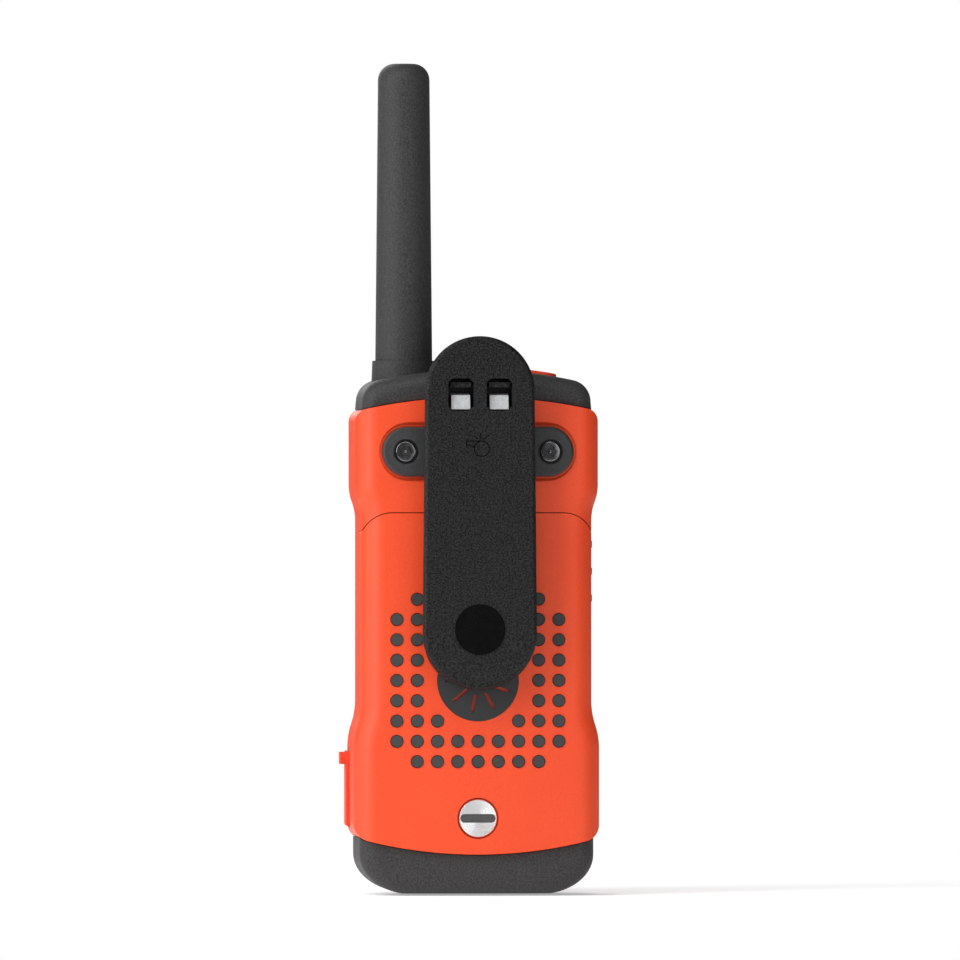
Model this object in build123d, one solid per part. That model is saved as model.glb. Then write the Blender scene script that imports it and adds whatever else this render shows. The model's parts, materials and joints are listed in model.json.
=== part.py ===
from build123d import *
from math import hypot
from math import sqrt
import os

# Handheld two-way radio, millimetres. +Z is up, the display faces -Y and the belt clip +Y.
# The origin is on the flat base the radio stands on, in the middle of its width.

os.makedirs("parts", exist_ok=True)

# ---------------------------------------------------------------- driving dimensions
# Case
case_height = 120.3       # base to the crown of the top cap
waist_half = 26.45        # half width where the hand closes round it
hip_swell = 1.8           # the hips stand out this much beyond the waist
shoulder_swell = 1.5
front_y = -19.0
back_y = 17.0
parting_y = 2.0           # plane where the front and rear mouldings meet
crown = 1.2               # bulge of the front and back faces
crown_half = 29.0         # half width over which the crown is measured
edge_radius = 5.5
side_wall = 1.8
front_wall = 2.4
back_wall = 1.6
seam = 0.2                # gap in every parting line that opens
fit = 0.2                 # play round pieces that drop into the case
ease = 0.1                # play between pieces that only have to clear each other

# Heights of the waist, measured from the base and from the crown
hip_top_z = 33.4
waist_low_z = 44.4
waist_high_z = case_height - 34.5
shoulder_low_z = case_height - 26.3

# Orange mouldings: a sagging lower line and an arched upper line
lower_line_z = 9.2
lower_line_r = 105.2
lower_corner = 4.2
upper_line_z = case_height - 6.3
upper_line_r = 121.8
upper_corner = 3.2

# Rubber boot and top cap
boot_step = 1.35
boot_corner_x = 12.3
boot_corner_z = 9.0
boot_edge = 4.0
boot_top_z = 26.0
cap_step = 1.5
cap_taper = 1.1
cap_corner = 5.0
cap_edge = 3.5
cap_arch_r = 105.0
cap_low_z = case_height - 22.0
soft_wall = 1.8

# Fascia on the front
fascia_margin = 6.3
fascia_corner = 6.0
fascia_depth = 1.4
fascia_proud = 0.25
ledge = 1.6

# Display
lcd_z = case_height - 30.8
window_size = (30.0, 18.0)
window_corner = 2.0
window_step = 0.8
window_thickness = 1.0
lcd_border = (2.0, 2.5)   # frame of the display module round its glass
lcd_gap = 0.4             # module behind the fascia
lcd_key_corner = 0.8

# Keys
key_row_z = 64.7
key_pitch_x = 12.4
key_pitch_z = 9.2
menu_key_r = 4.4
arrow_key = (10.0, 5.6, 2.4)    # width, height, corner
side_key = (8.2, 9.6, 3.0)
dome_r = 2.2
dome_height = 0.4
key_travel = 0.6
key_proud = 0.9
key_gap = 0.15
key_round = 0.5
key_plunger_r = 1.6
key_flange = 0.9
key_overhang = 0.7

# Microphone
microphone_x = 14.0
microphone_z = key_row_z + 10.0
microphone_r = 2.8
microphone_depth = 2.5
microphone_hole_r = 0.6

# Loudspeaker
speaker_z = 35.0
speaker_r = 15.5
speaker_depth = 10.4
felt_thickness = 0.5
felt_width = 1.8
cup_wall = 1.0
cup_depth = 3.0
magnet_r = 9.5
grille_r = 13.6
grille_pitch = 3.4
grille_slot = 1.5

# Circuit board and chassis
board_side_gap = 3.15     # board edge to the inside of the waist
board_low_z = 17.5
board_high_z = case_height - 9.3
board_sink = 6.2          # front face to the board
board_thickness = 1.2
board_corner = 2.5
shield_size = (21.0, 21.0, 2.6)    # width, height, depth
shield_centre = (-0.5, key_row_z + 4.5)
shield_corner = 1.2
plate_ahead = 4.5         # mid plate in front of the parting plane
plate_thickness = 1.5
plate_low_z = 14.5
plate_high_z = case_height - 12.3
gasket_height = 0.6
gasket_width = 1.6
rim_width = 3.0
rim_height = 1.2
plate_edge = 0.6          # gasket inside the plate's edge
post_r = 1.8
post_side = (17.5, 55.0)  # board posts beside the keys
post_top = (9.0, 0.5)     # board posts under the clip's hinge

# Cells, three side by side
cell_r = 7.25
cell_length = 50.5
cell_gap = 0.7            # between neighbouring cells
cell_play = 0.25
cell_low_z = 29.8
cell_lift = 0.05          # floor left under each bay
contact_space = 3.8
nub_r = 2.75
nub_height = 1.0
middle_shift = 1.0        # the middle cell is turned round and sits this much higher
cell_chamfer = 0.4
contact_sheet = 0.4
contact_in = 0.12         # a contact's corners inside its cell's outline
spring_r = 3.6            # battery spring at its base
spring_lean = 0.26        # each turn is narrower by this
spring_wave = 0.35
tray_wall = 1.2
tray_end = 1.5
tray_rise = 2.95          # tray walls above the cells' axes

# Battery door
door_top_z = case_height - 32.9
door_flat_half = 19.6
door_corner = 7.4
hook_width = 6.0
hook_reach = 2.6
hook_thickness = 1.2
hook_gap = 0.5

# Grip studs and medallion on the door
stud_centre_z = 49.1
stud_pitch = 4.65
stud_r = 1.35
stud_fit = 0.15
stud_proud = 0.3
stud_inner = 2.5          # rings of the pattern kept, in pitches
stud_outer = 5.5
mat_thickness = 0.7
sheet_gap = 0.05
medallion_r = 9.35
medallion_depth = 0.8
slit_count = 9

# Coin lock
lock_z = 17.5
lock_r = 4.5
lock_fit = 0.2
lock_shaft_r = 1.6
lock_head = 2.3
lock_sink = 0.15
coin_slot = (8.1, 2.0)
coin_slot_depth = 1.1
cam_half = 4.6
cam_width = 3.2
cam_thickness = 2.2
cam_spigot_r = 0.9
cam_gap = 0.2             # cam to the lug it grips
lug_y = 10.6
lug_thickness = 2.0
lug_half = 7.5
run_fit = 0.05            # radial play of a shaft that turns in its hole

# Belt clip
clip_z = case_height - 18.8    # hinge height, also the bracket's centre line
clip_above = 26.4              # hinge to the top of the clip
clip_below = 54.6              # hinge to the tip
clip_top_r = 12.5
clip_tip_r = 13.05
clip_rise = 2.1                # plate above the pin
clip_thickness = 2.6
clip_bevel = 0.7
clip_bend = 39.5               # hinge to where the tip starts to curve
tip_sweep = 1.6
lip_gap = 0.75                 # tip's lip above the back face
pin_rise = 3.1                 # pin above the back face
pin_r = 1.2
knuckle_r = 2.0
knuckle_out = 11.0
knuckle_in = 8.4
ear_out = 8.2
ear_in = 5.4
disc_up = 13.9                 # tip to the middle of the round inlay
disc_r = 5.75
disc_depth = 0.6

# Whistle in the head of the clip
whistle_half = 8.6
whistle_depth = 2.6
whistle_low_z = clip_z + 4.2
whistle_high_z = clip_z + 24.6
reed_x = 4.4
reed_window = (5.85, 7.35)
reed_z = clip_z + 13.05
reed_corner = 1.0
reed_depth = 4.0               # outer face to the floor of a window
ramp_half = 2.15
lintel_half = 2.35             # bar across the top of each window
lintel_z = (reed_z + 1.65, reed_z + 2.8)
lintel_sink = 0.9

# Clip bracket
bracket_half = 21.9
bracket_height = 11.3
bracket_low_y = back_y - 1.1
bracket_high_y = back_y + 0.9
bracket_bevel = 0.5
pocket_fit = 0.2
pocket_wall = 1.4
pocket_floor = 2.0
dish_depth = 0.9          # soft slope round the bracket
dish_slope = 48
screw_x = 16.57
well_fit = 0.525
well_depth = 1.2
screw_head_r = 2.35
screw_head = 0.9
screw_r = 1.25
screw_length = 24.0
screw_boss_r = 3.2

# Case screws
case_screw_low = (14.5, 17.5)
case_screw_in = 5.95      # upper screws inside the waist
case_screw_high_z = case_height - 28.3
case_boss_r = 2.6
case_screw_r = 1.1
case_screw_length = 10.0
case_screw_head = (2.1, 1.3)    # radius, height

# Screw heads
head_chamfer = 0.25
star_floor = 0.3

# Antenna
antenna_x = 16.0
antenna_top_z = case_height + 70.4
antenna_low_r = 6.55
antenna_high_r = 5.9
antenna_round = 3.8
collar_top_z = case_height + 2.1
collar_low_r = 7.6
collar_high_r = 7.25
spigot_r = 5.0
spigot_fit = 0.1
spigot_depth = 7.2        # crown to the spigot's lower end
whip_r = 1.6
ferrule_r = 4.0
ferrule_flange_r = 6.3

# Top button
top_key_x = -12.5
top_key_size = (13.2, 8.6)
top_key_corner = 3.4
top_key_proud = 0.8
top_key_travel = 0.8
top_key_skirt = 1.2

# Push-to-talk bar on the -X side
ptt_sink = 10.5           # front face to the bar's middle
ptt_z = 74.0
ptt_size = (6.0, 24.0)
ptt_corner = 2.6
ptt_proud = 0.6
ptt_travel = 0.9
ptt_flange = 0.8
ptt_nub = 0.5             # plunger behind the flange
ptt_nub_r = 1.5
ptt_nub_rise = 2.4        # its height over the board
switch_tip = (0.7, 1.2)   # travel stub of the side switch: length, radius
switch_size = (4.0, 4.0, 6.0)
rib_proud = 0.8
rib_pitch = 6.2
rib_size = (4.8, 1.6)

# Charging port on the +X side
port_rise = 1.9           # socket's middle behind the board
port_z = 24.0
cover_offset = 1.5        # the cover's middle behind the socket's
cover_size = (8.4, 17.4)
cover_corner = 2.4
cover_sink = 0.5
cover_proud = 0.75
cover_tab = (6.8, 2.8, 1.3)    # width, height and how far it stands out
cover_tab_drop = 1.7           # its middle below the cover's top
plug_reach = 1.2
plug_play = (0.2, 0.4)
socket_size = (3.0, 8.0)
socket_length = 7.4

# ---------------------------------------------------------------- derived places
hip_half = waist_half + hip_swell
shoulder_half = waist_half + shoulder_swell
boot_half = hip_half - boot_step
cap_half = shoulder_half - cap_step
inner_half = waist_half - side_wall
inner_front_y = front_y + front_wall
inner_back_y = back_y - back_wall
fascia_back_y = front_y + fascia_depth
board_half = inner_half - board_side_gap
board_front_y = front_y + board_sink
board_back_y = board_front_y + board_thickness
plate_front_y = parting_y - plate_ahead
plate_back_y = plate_front_y + plate_thickness
cell_pitch = 2 * cell_r + cell_gap
cell_y = plate_back_y + cell_r + cell_play + cell_lift
tray_back_y = cell_y + tray_rise
contact_half = cell_r / sqrt(2) - contact_in
tray_half = cell_pitch + cell_r + cell_play + tray_wall
tray_low_z = cell_low_z - contact_space - tray_end
tray_high_z = cell_low_z + cell_length + nub_height + tray_end
lug_low_z = lower_line_z + 0.4
hook_x = cell_pitch / 2        # in the valleys between the cells
hook_y = inner_back_y - hook_gap - hook_thickness
stud_hole_r = stud_r + stud_fit
lock_bore_r = lock_r + lock_fit
lock_seat_y = back_y - lock_sink - lock_head
cam_low_y = lug_y - cam_gap - cam_thickness
pin_y = back_y + pin_rise
clip_inner_y = pin_y + clip_rise
clip_outer_y = clip_inner_y + clip_thickness
clip_tip_z = clip_z - clip_below
lip_y = back_y + lip_gap
disc_z = clip_tip_z + disc_up
reed_floor_y = clip_outer_y - reed_depth
well_r = screw_head_r + well_fit
well_floor_y = bracket_high_y - well_depth
bracket_screw_end = well_floor_y - screw_length
ptt_y = front_y + ptt_sink
port_y = board_back_y + port_rise
cover_y = port_y + cover_offset
spigot_low_z = case_height - spigot_depth
collar_bore_r = spigot_r + spigot_fit
crown_r = (crown_half ** 2 + crown ** 2) / (2 * crown)


# ---------------------------------------------------------------- drawing helpers
def along_y(sketch, y0, y1):
    """A sketch in (x, z), made solid from y0 back to y1."""
    return extrude(Plane.XZ.offset(-y1) * sketch, amount=y1 - y0)


def along_x(sketch, x0, x1):
    """A sketch in (y, z), made solid from x0 to x1."""
    return extrude(Plane.YZ.offset(x0) * sketch, amount=x1 - x0)


def along_z(sketch, z0, z1):
    """A sketch in (x, y), made solid from z0 up to z1."""
    return extrude(Plane.XY.offset(z0) * sketch, amount=z1 - z0)


def block(x0, x1, y0, y1, z0, z1):
    size = Box(x1 - x0, y1 - y0, z1 - z0)
    return Pos((x0 + x1) / 2, (y0 + y1) / 2, (z0 + z1) / 2) * size


def disc_y(x, z, radius, y0, y1):
    return along_y(Pos(x, z) * Circle(radius), y0, y1)


def band(z0, z1):
    """Sketch of a wide strip between two heights."""
    return Pos(0, (z0 + z1) / 2) * Rectangle(4 * crown_half, z1 - z0)


def mirrored_face(right, low_z, high_z):
    """Closes a right-hand flank with its mirror image and two level lines."""
    left = [mirror(edge, about=Plane.YZ) for edge in right]
    foot = right[0] @ 0
    head = right[-1] @ 1
    base = Line((-foot.X, low_z), (foot.X, low_z))
    lid = Line((-head.X, high_z), (head.X, high_z))
    return make_face(right + left + [base, lid])


def crowned_plan(y0, y1):
    """Plan of the case between a front and a back face that both bulge outwards."""
    half = 1.25 * crown_half
    drop = crown_r - sqrt(crown_r ** 2 - half ** 2)
    front = ThreePointArc((-half, y0 + drop), (0, y0), (half, y0 + drop))
    back = ThreePointArc((-half, y1 - drop), (0, y1), (half, y1 - drop))
    sides = [Line(front @ 0, back @ 0), Line(front @ 1, back @ 1)]
    return make_face([front, back] + sides)


def behind_crown(y1):
    """Everything in front of the crowned back face at depth y1."""
    return along_z(crowned_plan(front_y - 5, y1), -5, antenna_top_z)


def save(name, shape):
    """Writes one node under its name."""
    shape.label = name
    export_step(shape, "parts/" + name + ".step")


# ---------------------------------------------------------------- case forms
def body_outline(inset):
    """Front view of the case: hips, waist and shoulders joined by tangent arcs."""
    hip = hip_half - inset
    waist = waist_half - inset
    shoulder = shoulder_half - inset
    hip_bend = ((hip + waist) / 2, (hip_top_z + waist_low_z) / 2)
    shoulder_bend = ((waist + shoulder) / 2, (waist_high_z + shoulder_low_z) / 2)
    right = [
        Line((hip, 0), (hip, hip_top_z)),
        TangentArc((hip, hip_top_z), hip_bend, tangent=(0, 1)),
        TangentArc((waist, waist_low_z), hip_bend, tangent=(0, -1)),
        Line((waist, waist_low_z), (waist, waist_high_z)),
        TangentArc((waist, waist_high_z), shoulder_bend, tangent=(0, 1)),
        TangentArc((shoulder, shoulder_low_z), shoulder_bend, tangent=(0, -1)),
        Line((shoulder, shoulder_low_z), (shoulder, case_height)),
    ]
    return mirrored_face(right, 0, case_height)


def long_edges(solid, z0, z1):
    """Edges that run round the front and back faces, between two heights."""
    middle = (solid.bounding_box().min.Y + solid.bounding_box().max.Y) / 2
    depth = (solid.bounding_box().max.Y - solid.bounding_box().min.Y) / 2
    found = []
    for edge in solid.edges():
        spot = edge.center()
        if abs(spot.Y - middle) > 0.75 * depth and z0 < spot.Z < z1:
            found.append(edge)
    return found


def body_form(side, front, back):
    """Case form with its sides and faces moved in by a wall thickness."""
    solid = along_y(body_outline(side), 2 * front_y, 2 * back_y)
    solid &= along_z(crowned_plan(front_y + front, back_y - back), 0, case_height)
    return fillet(long_edges(solid, 0.1, case_height - 0.1), edge_radius - side)


def case_face(grow):
    """Front view of the two orange mouldings together, grown by a seam."""
    lower = Pos(0, lower_line_z + lower_line_r) * Circle(lower_line_r + grow)
    upper = Pos(0, upper_line_z - upper_line_r) * Circle(upper_line_r + grow)
    face = body_outline(-grow) & lower & upper
    low = [v for v in face.vertices() if v.Y < hip_top_z - 5]
    face = fillet(low, lower_corner + grow)
    high = [v for v in face.vertices() if v.Y > shoulder_low_z + 5]
    return fillet(high, upper_corner + grow)


def door_face(grow):
    """Front view of the battery door's outline, open downwards."""
    half = door_flat_half + door_corner + grow
    top = Pos(0, door_top_z + grow - 30) * Rectangle(2 * half, 60)
    corners = top.vertices().sort_by(Axis.Y)[-2:]
    top = fillet(corners, door_corner + grow)
    return top + band(-20, door_top_z - door_corner)


def boot_form(inset):
    """Rubber boot: wide rounded lower corners and a flat foot."""
    half = boot_half - inset
    corner_x = boot_corner_x - inset
    corner_z = boot_corner_z - inset
    centre = (half - corner_x, inset + corner_z)
    right = [
        EllipticalCenterArc(centre, corner_x, corner_z, start_angle=270, arc_size=90),
        Line((half, centre[1]), (half, boot_top_z)),
    ]
    solid = along_y(mirrored_face(right, inset, boot_top_z), 2 * front_y, 2 * back_y)
    plan = crowned_plan(front_y + boot_step + inset, back_y - boot_step - inset)
    solid &= along_z(plan, 0, boot_top_z)
    return fillet(long_edges(solid, -1, boot_top_z - 0.1), boot_edge - inset)


def cap_form(inset):
    """Top cap: sides that lean in, round corners and an arched crown."""
    half = cap_half - inset
    crown_z = case_height - inset
    arch = Pos(0, crown_z - cap_arch_r) * Circle(cap_arch_r)
    side = Polygon(
        (-half, cap_low_z),
        (half, cap_low_z),
        (half, upper_line_z - 3),
        (half - cap_taper, case_height + 3),
        (cap_taper - half, case_height + 3),
        (-half, upper_line_z - 3),
        align=None,
    )
    face = side & arch
    top = [v for v in face.vertices() if v.Y > upper_line_z]
    face = fillet(top, cap_corner - inset)
    solid = along_y(face, 2 * front_y, 2 * back_y)
    plan = crowned_plan(front_y + cap_step + inset, back_y - cap_step - inset)
    solid &= along_z(plan, cap_low_z, case_height)
    return fillet(long_edges(solid, cap_low_z + 0.1, case_height + 1), cap_edge - inset)


body_outer = body_form(0, 0, 0)
body_inner = body_form(side_wall, front_wall, back_wall)
case_shell = (body_outer - body_inner) & along_y(case_face(0), 2 * front_y, 2 * back_y)
case_gap = along_y(case_face(seam), 2 * front_y, 2 * back_y)
front_half = block(-60, 60, 2 * front_y, parting_y, -20, 200)
rear_half = block(-60, 60, parting_y + seam, 2 * back_y, -20, 200)


# ---------------------------------------------------------------- fascia, display, keys
def fascia_face(grow):
    """Dark front panel, a copy of the case outline moved in by its margin."""
    lower = Pos(0, lower_line_z + lower_line_r) * Circle(lower_line_r - fascia_margin + grow)
    upper = Pos(0, upper_line_z - upper_line_r) * Circle(upper_line_r - fascia_margin + grow)
    face = body_outline(fascia_margin - grow) & lower & upper
    ends = [v for v in face.vertices() if v.Y < hip_top_z - 5 or v.Y > shoulder_low_z + 5]
    return fillet(ends, fascia_corner + grow)


def key_sketch(name, grow):
    """Outline of one key about its own centre."""
    if name == "key_menu":
        return Circle(menu_key_r + grow)
    width, height, corner = arrow_key if name in ("key_up", "key_down") else side_key
    return RectangleRounded(width + 2 * grow, height + 2 * grow, corner + grow)


key_places = {
    "key_menu": (0, key_row_z),
    "key_up": (0, key_row_z + key_pitch_z),
    "key_down": (0, key_row_z - key_pitch_z),
    "key_call": (-key_pitch_x, key_row_z),
    "key_lock": (key_pitch_x, key_row_z),
}


def fascia_panel():
    panel = along_y(fascia_face(-ease), front_y - 2, fascia_back_y)
    plan = crowned_plan(front_y - fascia_proud, back_y)
    panel &= along_z(plan, 0, case_height)
    window = Pos(0, lcd_z) * RectangleRounded(*window_size, window_corner)
    pane = Pos(0, lcd_z) * offset(RectangleRounded(*window_size, window_corner), window_step)
    panel -= along_y(window, front_y - 3, inner_front_y)
    panel -= along_y(pane, front_y - 3, front_y + window_thickness)
    for name, (x, z) in key_places.items():
        panel -= along_y(Pos(x, z) * key_sketch(name, key_gap), front_y - 3, inner_front_y)
    rows = int((grille_r - grille_slot) / grille_pitch)
    for row in range(-rows, rows + 1):
        rise = row * grille_pitch
        reach = sqrt(grille_r ** 2 - rise ** 2)
        slot = Pos(0, speaker_z + rise) * SlotOverall(2 * reach, grille_slot)
        panel -= along_y(slot, front_y - 3, inner_front_y)
    panel -= disc_y(microphone_x, microphone_z, microphone_hole_r, front_y - 3, inner_front_y)
    cup = Circle(speaker_r + ease + cup_wall) - Circle(speaker_r + ease)
    return panel + along_y(Pos(0, speaker_z) * cup, fascia_back_y - 0.01,
                           fascia_back_y + cup_depth)


save("fascia", fascia_panel())
pane_face = offset(RectangleRounded(*window_size, window_corner), window_step - 0.05)
pane_plan = crowned_plan(front_y - fascia_proud, back_y)
pane_block = along_y(Pos(0, lcd_z) * pane_face, front_y - 2, front_y + window_thickness)
save("lcd_window", pane_block & along_z(pane_plan, 0, case_height))


def lcd_block():
    low, high = fascia_back_y + lcd_gap, board_front_y
    width, height = window_size
    frame = Rectangle(width + 2 * lcd_border[0], height + 2 * lcd_border[1])
    body = along_y(Pos(0, lcd_z) * frame, low, high)
    glass = Pos(0, lcd_z) * Rectangle(width + 1, height + 1)
    body -= along_y(glass, low, low + 0.5)
    return chamfer(body.edges().filter_by(Axis.Y).sort_by(Axis.X)[:2], lcd_key_corner)


save("lcd_module", lcd_block())


def key_solid(name):
    """Domed cap, a flange that stops it behind the fascia, and a plunger over its dome."""
    x, z = key_places[name]
    low = fascia_back_y + ease
    cap = along_y(Pos(x, z) * key_sketch(name, 0), front_y - 2, low + 0.1)
    cap &= along_z(crowned_plan(front_y - key_proud, back_y), 0, case_height)
    top = cap.faces().sort_by(Axis.Y)[0]
    cap = fillet(top.edges(), key_round)
    cap += along_y(Pos(x, z) * key_sketch(name, key_overhang), low, low + key_flange)
    plunger_end = board_front_y - dome_height - key_travel - ease
    return cap + disc_y(x, z, key_plunger_r, low, plunger_end)


for name in key_places:
    save(name, key_solid(name))

domes = [
    disc_y(x, z, dome_r, board_front_y - dome_height, board_front_y)
    for x, z in key_places.values()
]
save("key_domes", Compound(children=domes))


# ---------------------------------------------------------------- loudspeaker and microphone
def turned_y(points, x, z):
    """Revolves a closed outline of (radius, y) points about an axis along Y."""
    face = make_face(Polyline(*[(x + radius, y) for radius, y in points], close=True))
    return revolve(Pos(0, 0, z) * face, Axis((x, 0, z), (0, 1, 0)))


speaker_y = fascia_back_y + felt_thickness
speaker_back_y = speaker_y + speaker_depth
save("speaker_felt", turned_y([
    (speaker_r, fascia_back_y), (speaker_r, speaker_y),
    (speaker_r - felt_width, speaker_y), (speaker_r - felt_width, fascia_back_y)],
    0, speaker_z))
basket = turned_y([
    (speaker_r, speaker_y), (speaker_r, speaker_y + 1.2),
    (magnet_r + 2.5, speaker_y + 4.4), (magnet_r + 2.5, speaker_y + 5.4),
    (3.2, speaker_y + 5.4), (3.2, speaker_y + 4.4), (magnet_r + 1.7, speaker_y + 4.4),
    (speaker_r - 1.4, speaker_y + 0.9), (speaker_r - 1.4, speaker_y)], 0, speaker_z)
save("speaker_frame", basket)
save("speaker_cone", turned_y([
    (speaker_r - 1.5, speaker_y), (speaker_r - 2.2, speaker_y + 0.5),
    (4.2, speaker_y + 3.6), (3.0, speaker_y + 4.2), (0, speaker_y + 2.6),
    (0, speaker_y + 2.2), (3.2, speaker_y + 3.6), (4.0, speaker_y + 3.1),
    (speaker_r - 2.5, speaker_y)], 0, speaker_z))
save("speaker_magnet", disc_y(0, speaker_z, magnet_r, speaker_y + 5.4, speaker_back_y))
save("microphone", disc_y(
    microphone_x, microphone_z, microphone_r, fascia_back_y + ease,
    fascia_back_y + ease + microphone_depth))


# ---------------------------------------------------------------- circuit board
case_screw_high = (waist_half - case_screw_in, case_screw_high_z)
case_screw_places = [
    (side * x, z) for side in (-1, 1) for x, z in (case_screw_low, case_screw_high)
]


def board():
    middle = (board_low_z + board_high_z) / 2
    face = Pos(0, middle) * RectangleRounded(2 * board_half, board_high_z - board_low_z, board_corner)
    face -= Pos(0, speaker_z) * Circle(speaker_r + ease + cup_wall + fit)
    for x, z in case_screw_places:
        face -= Pos(x, z) * Circle(case_boss_r + 0.5)
    return along_y(face, board_front_y, board_back_y)


save("main_board", board())
shield = Pos(*shield_centre) * RectangleRounded(*shield_size[:2], shield_corner)
save("shield_can", along_y(shield, board_back_y, board_back_y + shield_size[2]))

socket_x0 = board_half - 3.5
socket_half = (socket_size[0] / 2 + 0.4, socket_size[1] / 2 + 0.4)
socket = block(socket_x0, socket_x0 + socket_length, port_y - socket_half[0],
               port_y + socket_half[0], port_z - socket_half[1], port_z + socket_half[1])
socket -= block(socket_x0 + 1, socket_x0 + socket_length + 1, port_y - socket_size[0] / 2,
                port_y + socket_size[0] / 2, port_z - socket_size[1] / 2,
                port_z + socket_size[1] / 2)
tongue = block(socket_x0 + 0.5, socket_x0 + socket_length - 1.2, port_y - 0.35, port_y + 0.35,
               port_z - socket_size[1] / 2 + 1, port_z + socket_size[1] / 2 - 1)
save("charging_socket", socket + tongue)

ptt_nub_x = ptt_flange + ptt_nub + ease - inner_half
ptt_switch_x = ptt_nub_x + ptt_travel + ease
ptt_body_x = ptt_switch_x + switch_tip[0]
ptt_body = block(ptt_body_x, ptt_body_x + switch_size[0], board_back_y,
                 board_back_y + switch_size[1], ptt_z - switch_size[2] / 2,
                 ptt_z + switch_size[2] / 2)
ptt_tip = Pos(board_back_y + ptt_nub_rise, ptt_z) * Circle(switch_tip[1])
save("ptt_switch", ptt_body + along_x(ptt_tip, ptt_switch_x, ptt_body_x + 0.1))


# ---------------------------------------------------------------- chassis and power
bracket_screw_places = [(-screw_x, clip_z), (screw_x, clip_z)]
post_places = [(-post_side[0], post_side[1]), post_side,
               (-post_top[0], clip_z + post_top[1]), (post_top[0], clip_z + post_top[1])]
cell_places = {
    "battery_cell_left": cell_pitch,
    "battery_cell_middle": 0,
    "battery_cell_right": -cell_pitch,
}


def cell_start(name):
    """Height of a cell's flat lower end."""
    return cell_low_z + (middle_shift if name == "battery_cell_middle" else 0)


def chassis_moulding():
    """Mid plate with the cell tray behind it, board posts in front and the lock's lug."""
    plate = body_outline(side_wall + fit) & band(plate_low_z, plate_high_z)
    solid = along_y(plate, plate_front_y, plate_back_y)
    solid += block(-tray_half, tray_half, plate_back_y - 0.01, tray_back_y,
                   tray_low_z, tray_high_z)
    for x in cell_places.values():
        half = cell_r + cell_play
        bay = Pos(x, cell_y) * Circle(half)
        bay += Pos(x, cell_y + half / 2) * Rectangle(2 * half, half)
        solid -= along_z(bay, tray_low_z + tray_end, tray_high_z - tray_end)
    for x, z in post_places:
        solid += disc_y(x, z, post_r, board_back_y, plate_front_y + 0.01)
    for x, z in bracket_screw_places:
        solid += disc_y(x, z, screw_boss_r, bracket_screw_end - 1.2, plate_front_y + 0.01)
        solid -= disc_y(x, z, screw_r, bracket_screw_end - 0.2, plate_back_y + 1)
    for x, z in case_screw_places:
        solid -= disc_y(x, z, case_screw_r + 0.1, plate_front_y - 1, plate_back_y + 1)
    lug = block(-lug_half, lug_half, lug_y, lug_y + lug_thickness,
                lug_low_z, tray_low_z + tray_end)
    lug += block(-lug_half, lug_half, plate_back_y, lug_y + lug_thickness,
                 tray_low_z, tray_low_z + tray_end)
    lug = fillet(lug.edges().filter_by(Axis.Y).sort_by(Axis.Z)[:2], 2.5)
    notch = lock_shaft_r + 0.3
    lug -= disc_y(0, lock_z, notch, lug_y - 1, lug_y + lug_thickness + 1)
    lug -= block(-notch, notch, lug_y - 1, lug_y + lug_thickness + 1, lug_low_z - 1, lock_z)
    return solid + lug


save("chassis", chassis_moulding())

for name, x in cell_places.items():
    middle = name == "battery_cell_middle"
    start = cell_start(name)
    end = start + cell_length - nub_height
    body = along_z(Pos(x, cell_y) * Circle(cell_r), start, end)
    body = chamfer(body.edges().filter_by(GeomType.CIRCLE), cell_chamfer)
    nub_z = start - nub_height if middle else end
    save(name, body + along_z(Pos(x, cell_y) * Circle(nub_r), nub_z, nub_z + nub_height))


def contact_spring(x, base_z, tip_z):
    """Closely wound cone of wire, its turns drawn as grooves."""
    step = (tip_z - base_z) / 6
    points = [(0.8, base_z)]
    for turn in range(7):
        radius = spring_r - spring_lean * turn
        points.append((radius + spring_wave * (turn % 2), base_z + turn * step))
    points.append((0.8, tip_z))
    face = make_face(Polyline(*[(r, z) for r, z in points], close=True))
    face = Plane.XZ.offset(-cell_y) * Pos(x, 0) * face
    return revolve(face, Axis((x, cell_y, 0), (0, 0, 1)))


low_stop = tray_low_z + tray_end
high_stop = tray_high_z - tray_end
springs = []
plates = []
for name, x in cell_places.items():
    start = cell_start(name)
    if name == "battery_cell_middle":
        end = start + cell_length - nub_height
        springs.append(contact_spring(x, high_stop - contact_sheet, end))
    else:
        springs.append(contact_spring(x, low_stop + contact_sheet, start))
    for z in (low_stop, high_stop - contact_sheet):
        plates.append(block(x - contact_half, x + contact_half, cell_y - contact_half,
                            cell_y + contact_half - 0.5, z, z + contact_sheet))
save("contact_springs", Compound(children=springs))
save("contact_plates", Compound(children=plates))



def plate_ring(inset):
    """Outline of the mid plate's edge, moved in."""
    return body_outline(side_wall + inset) & band(plate_low_z + inset, plate_high_z - inset)


gasket_face = plate_ring(plate_edge) - plate_ring(plate_edge + gasket_width)
for x, z in case_screw_places:
    gasket_face -= Pos(x, z) * Circle(case_boss_r + ease)
save("case_gasket", along_y(gasket_face, plate_front_y - gasket_height, plate_front_y))


# ---------------------------------------------------------------- screws
def screw(x, z, head_y, head_r, head_h, shank_r, length, socket_r):
    """Screw driven towards -Y, its head seated at head_y."""
    head = disc_y(x, z, head_r, head_y, head_y + head_h)
    head = chamfer(head.edges().filter_by(GeomType.CIRCLE).sort_by(Axis.Y)[-1], head_chamfer)
    star = Pos(x, z) * RegularPolygon(socket_r, 6)
    head -= along_y(star, head_y + star_floor, head_y + head_h + 1)
    return head + disc_y(x, z, shank_r, head_y - length, head_y + 0.01)


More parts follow.
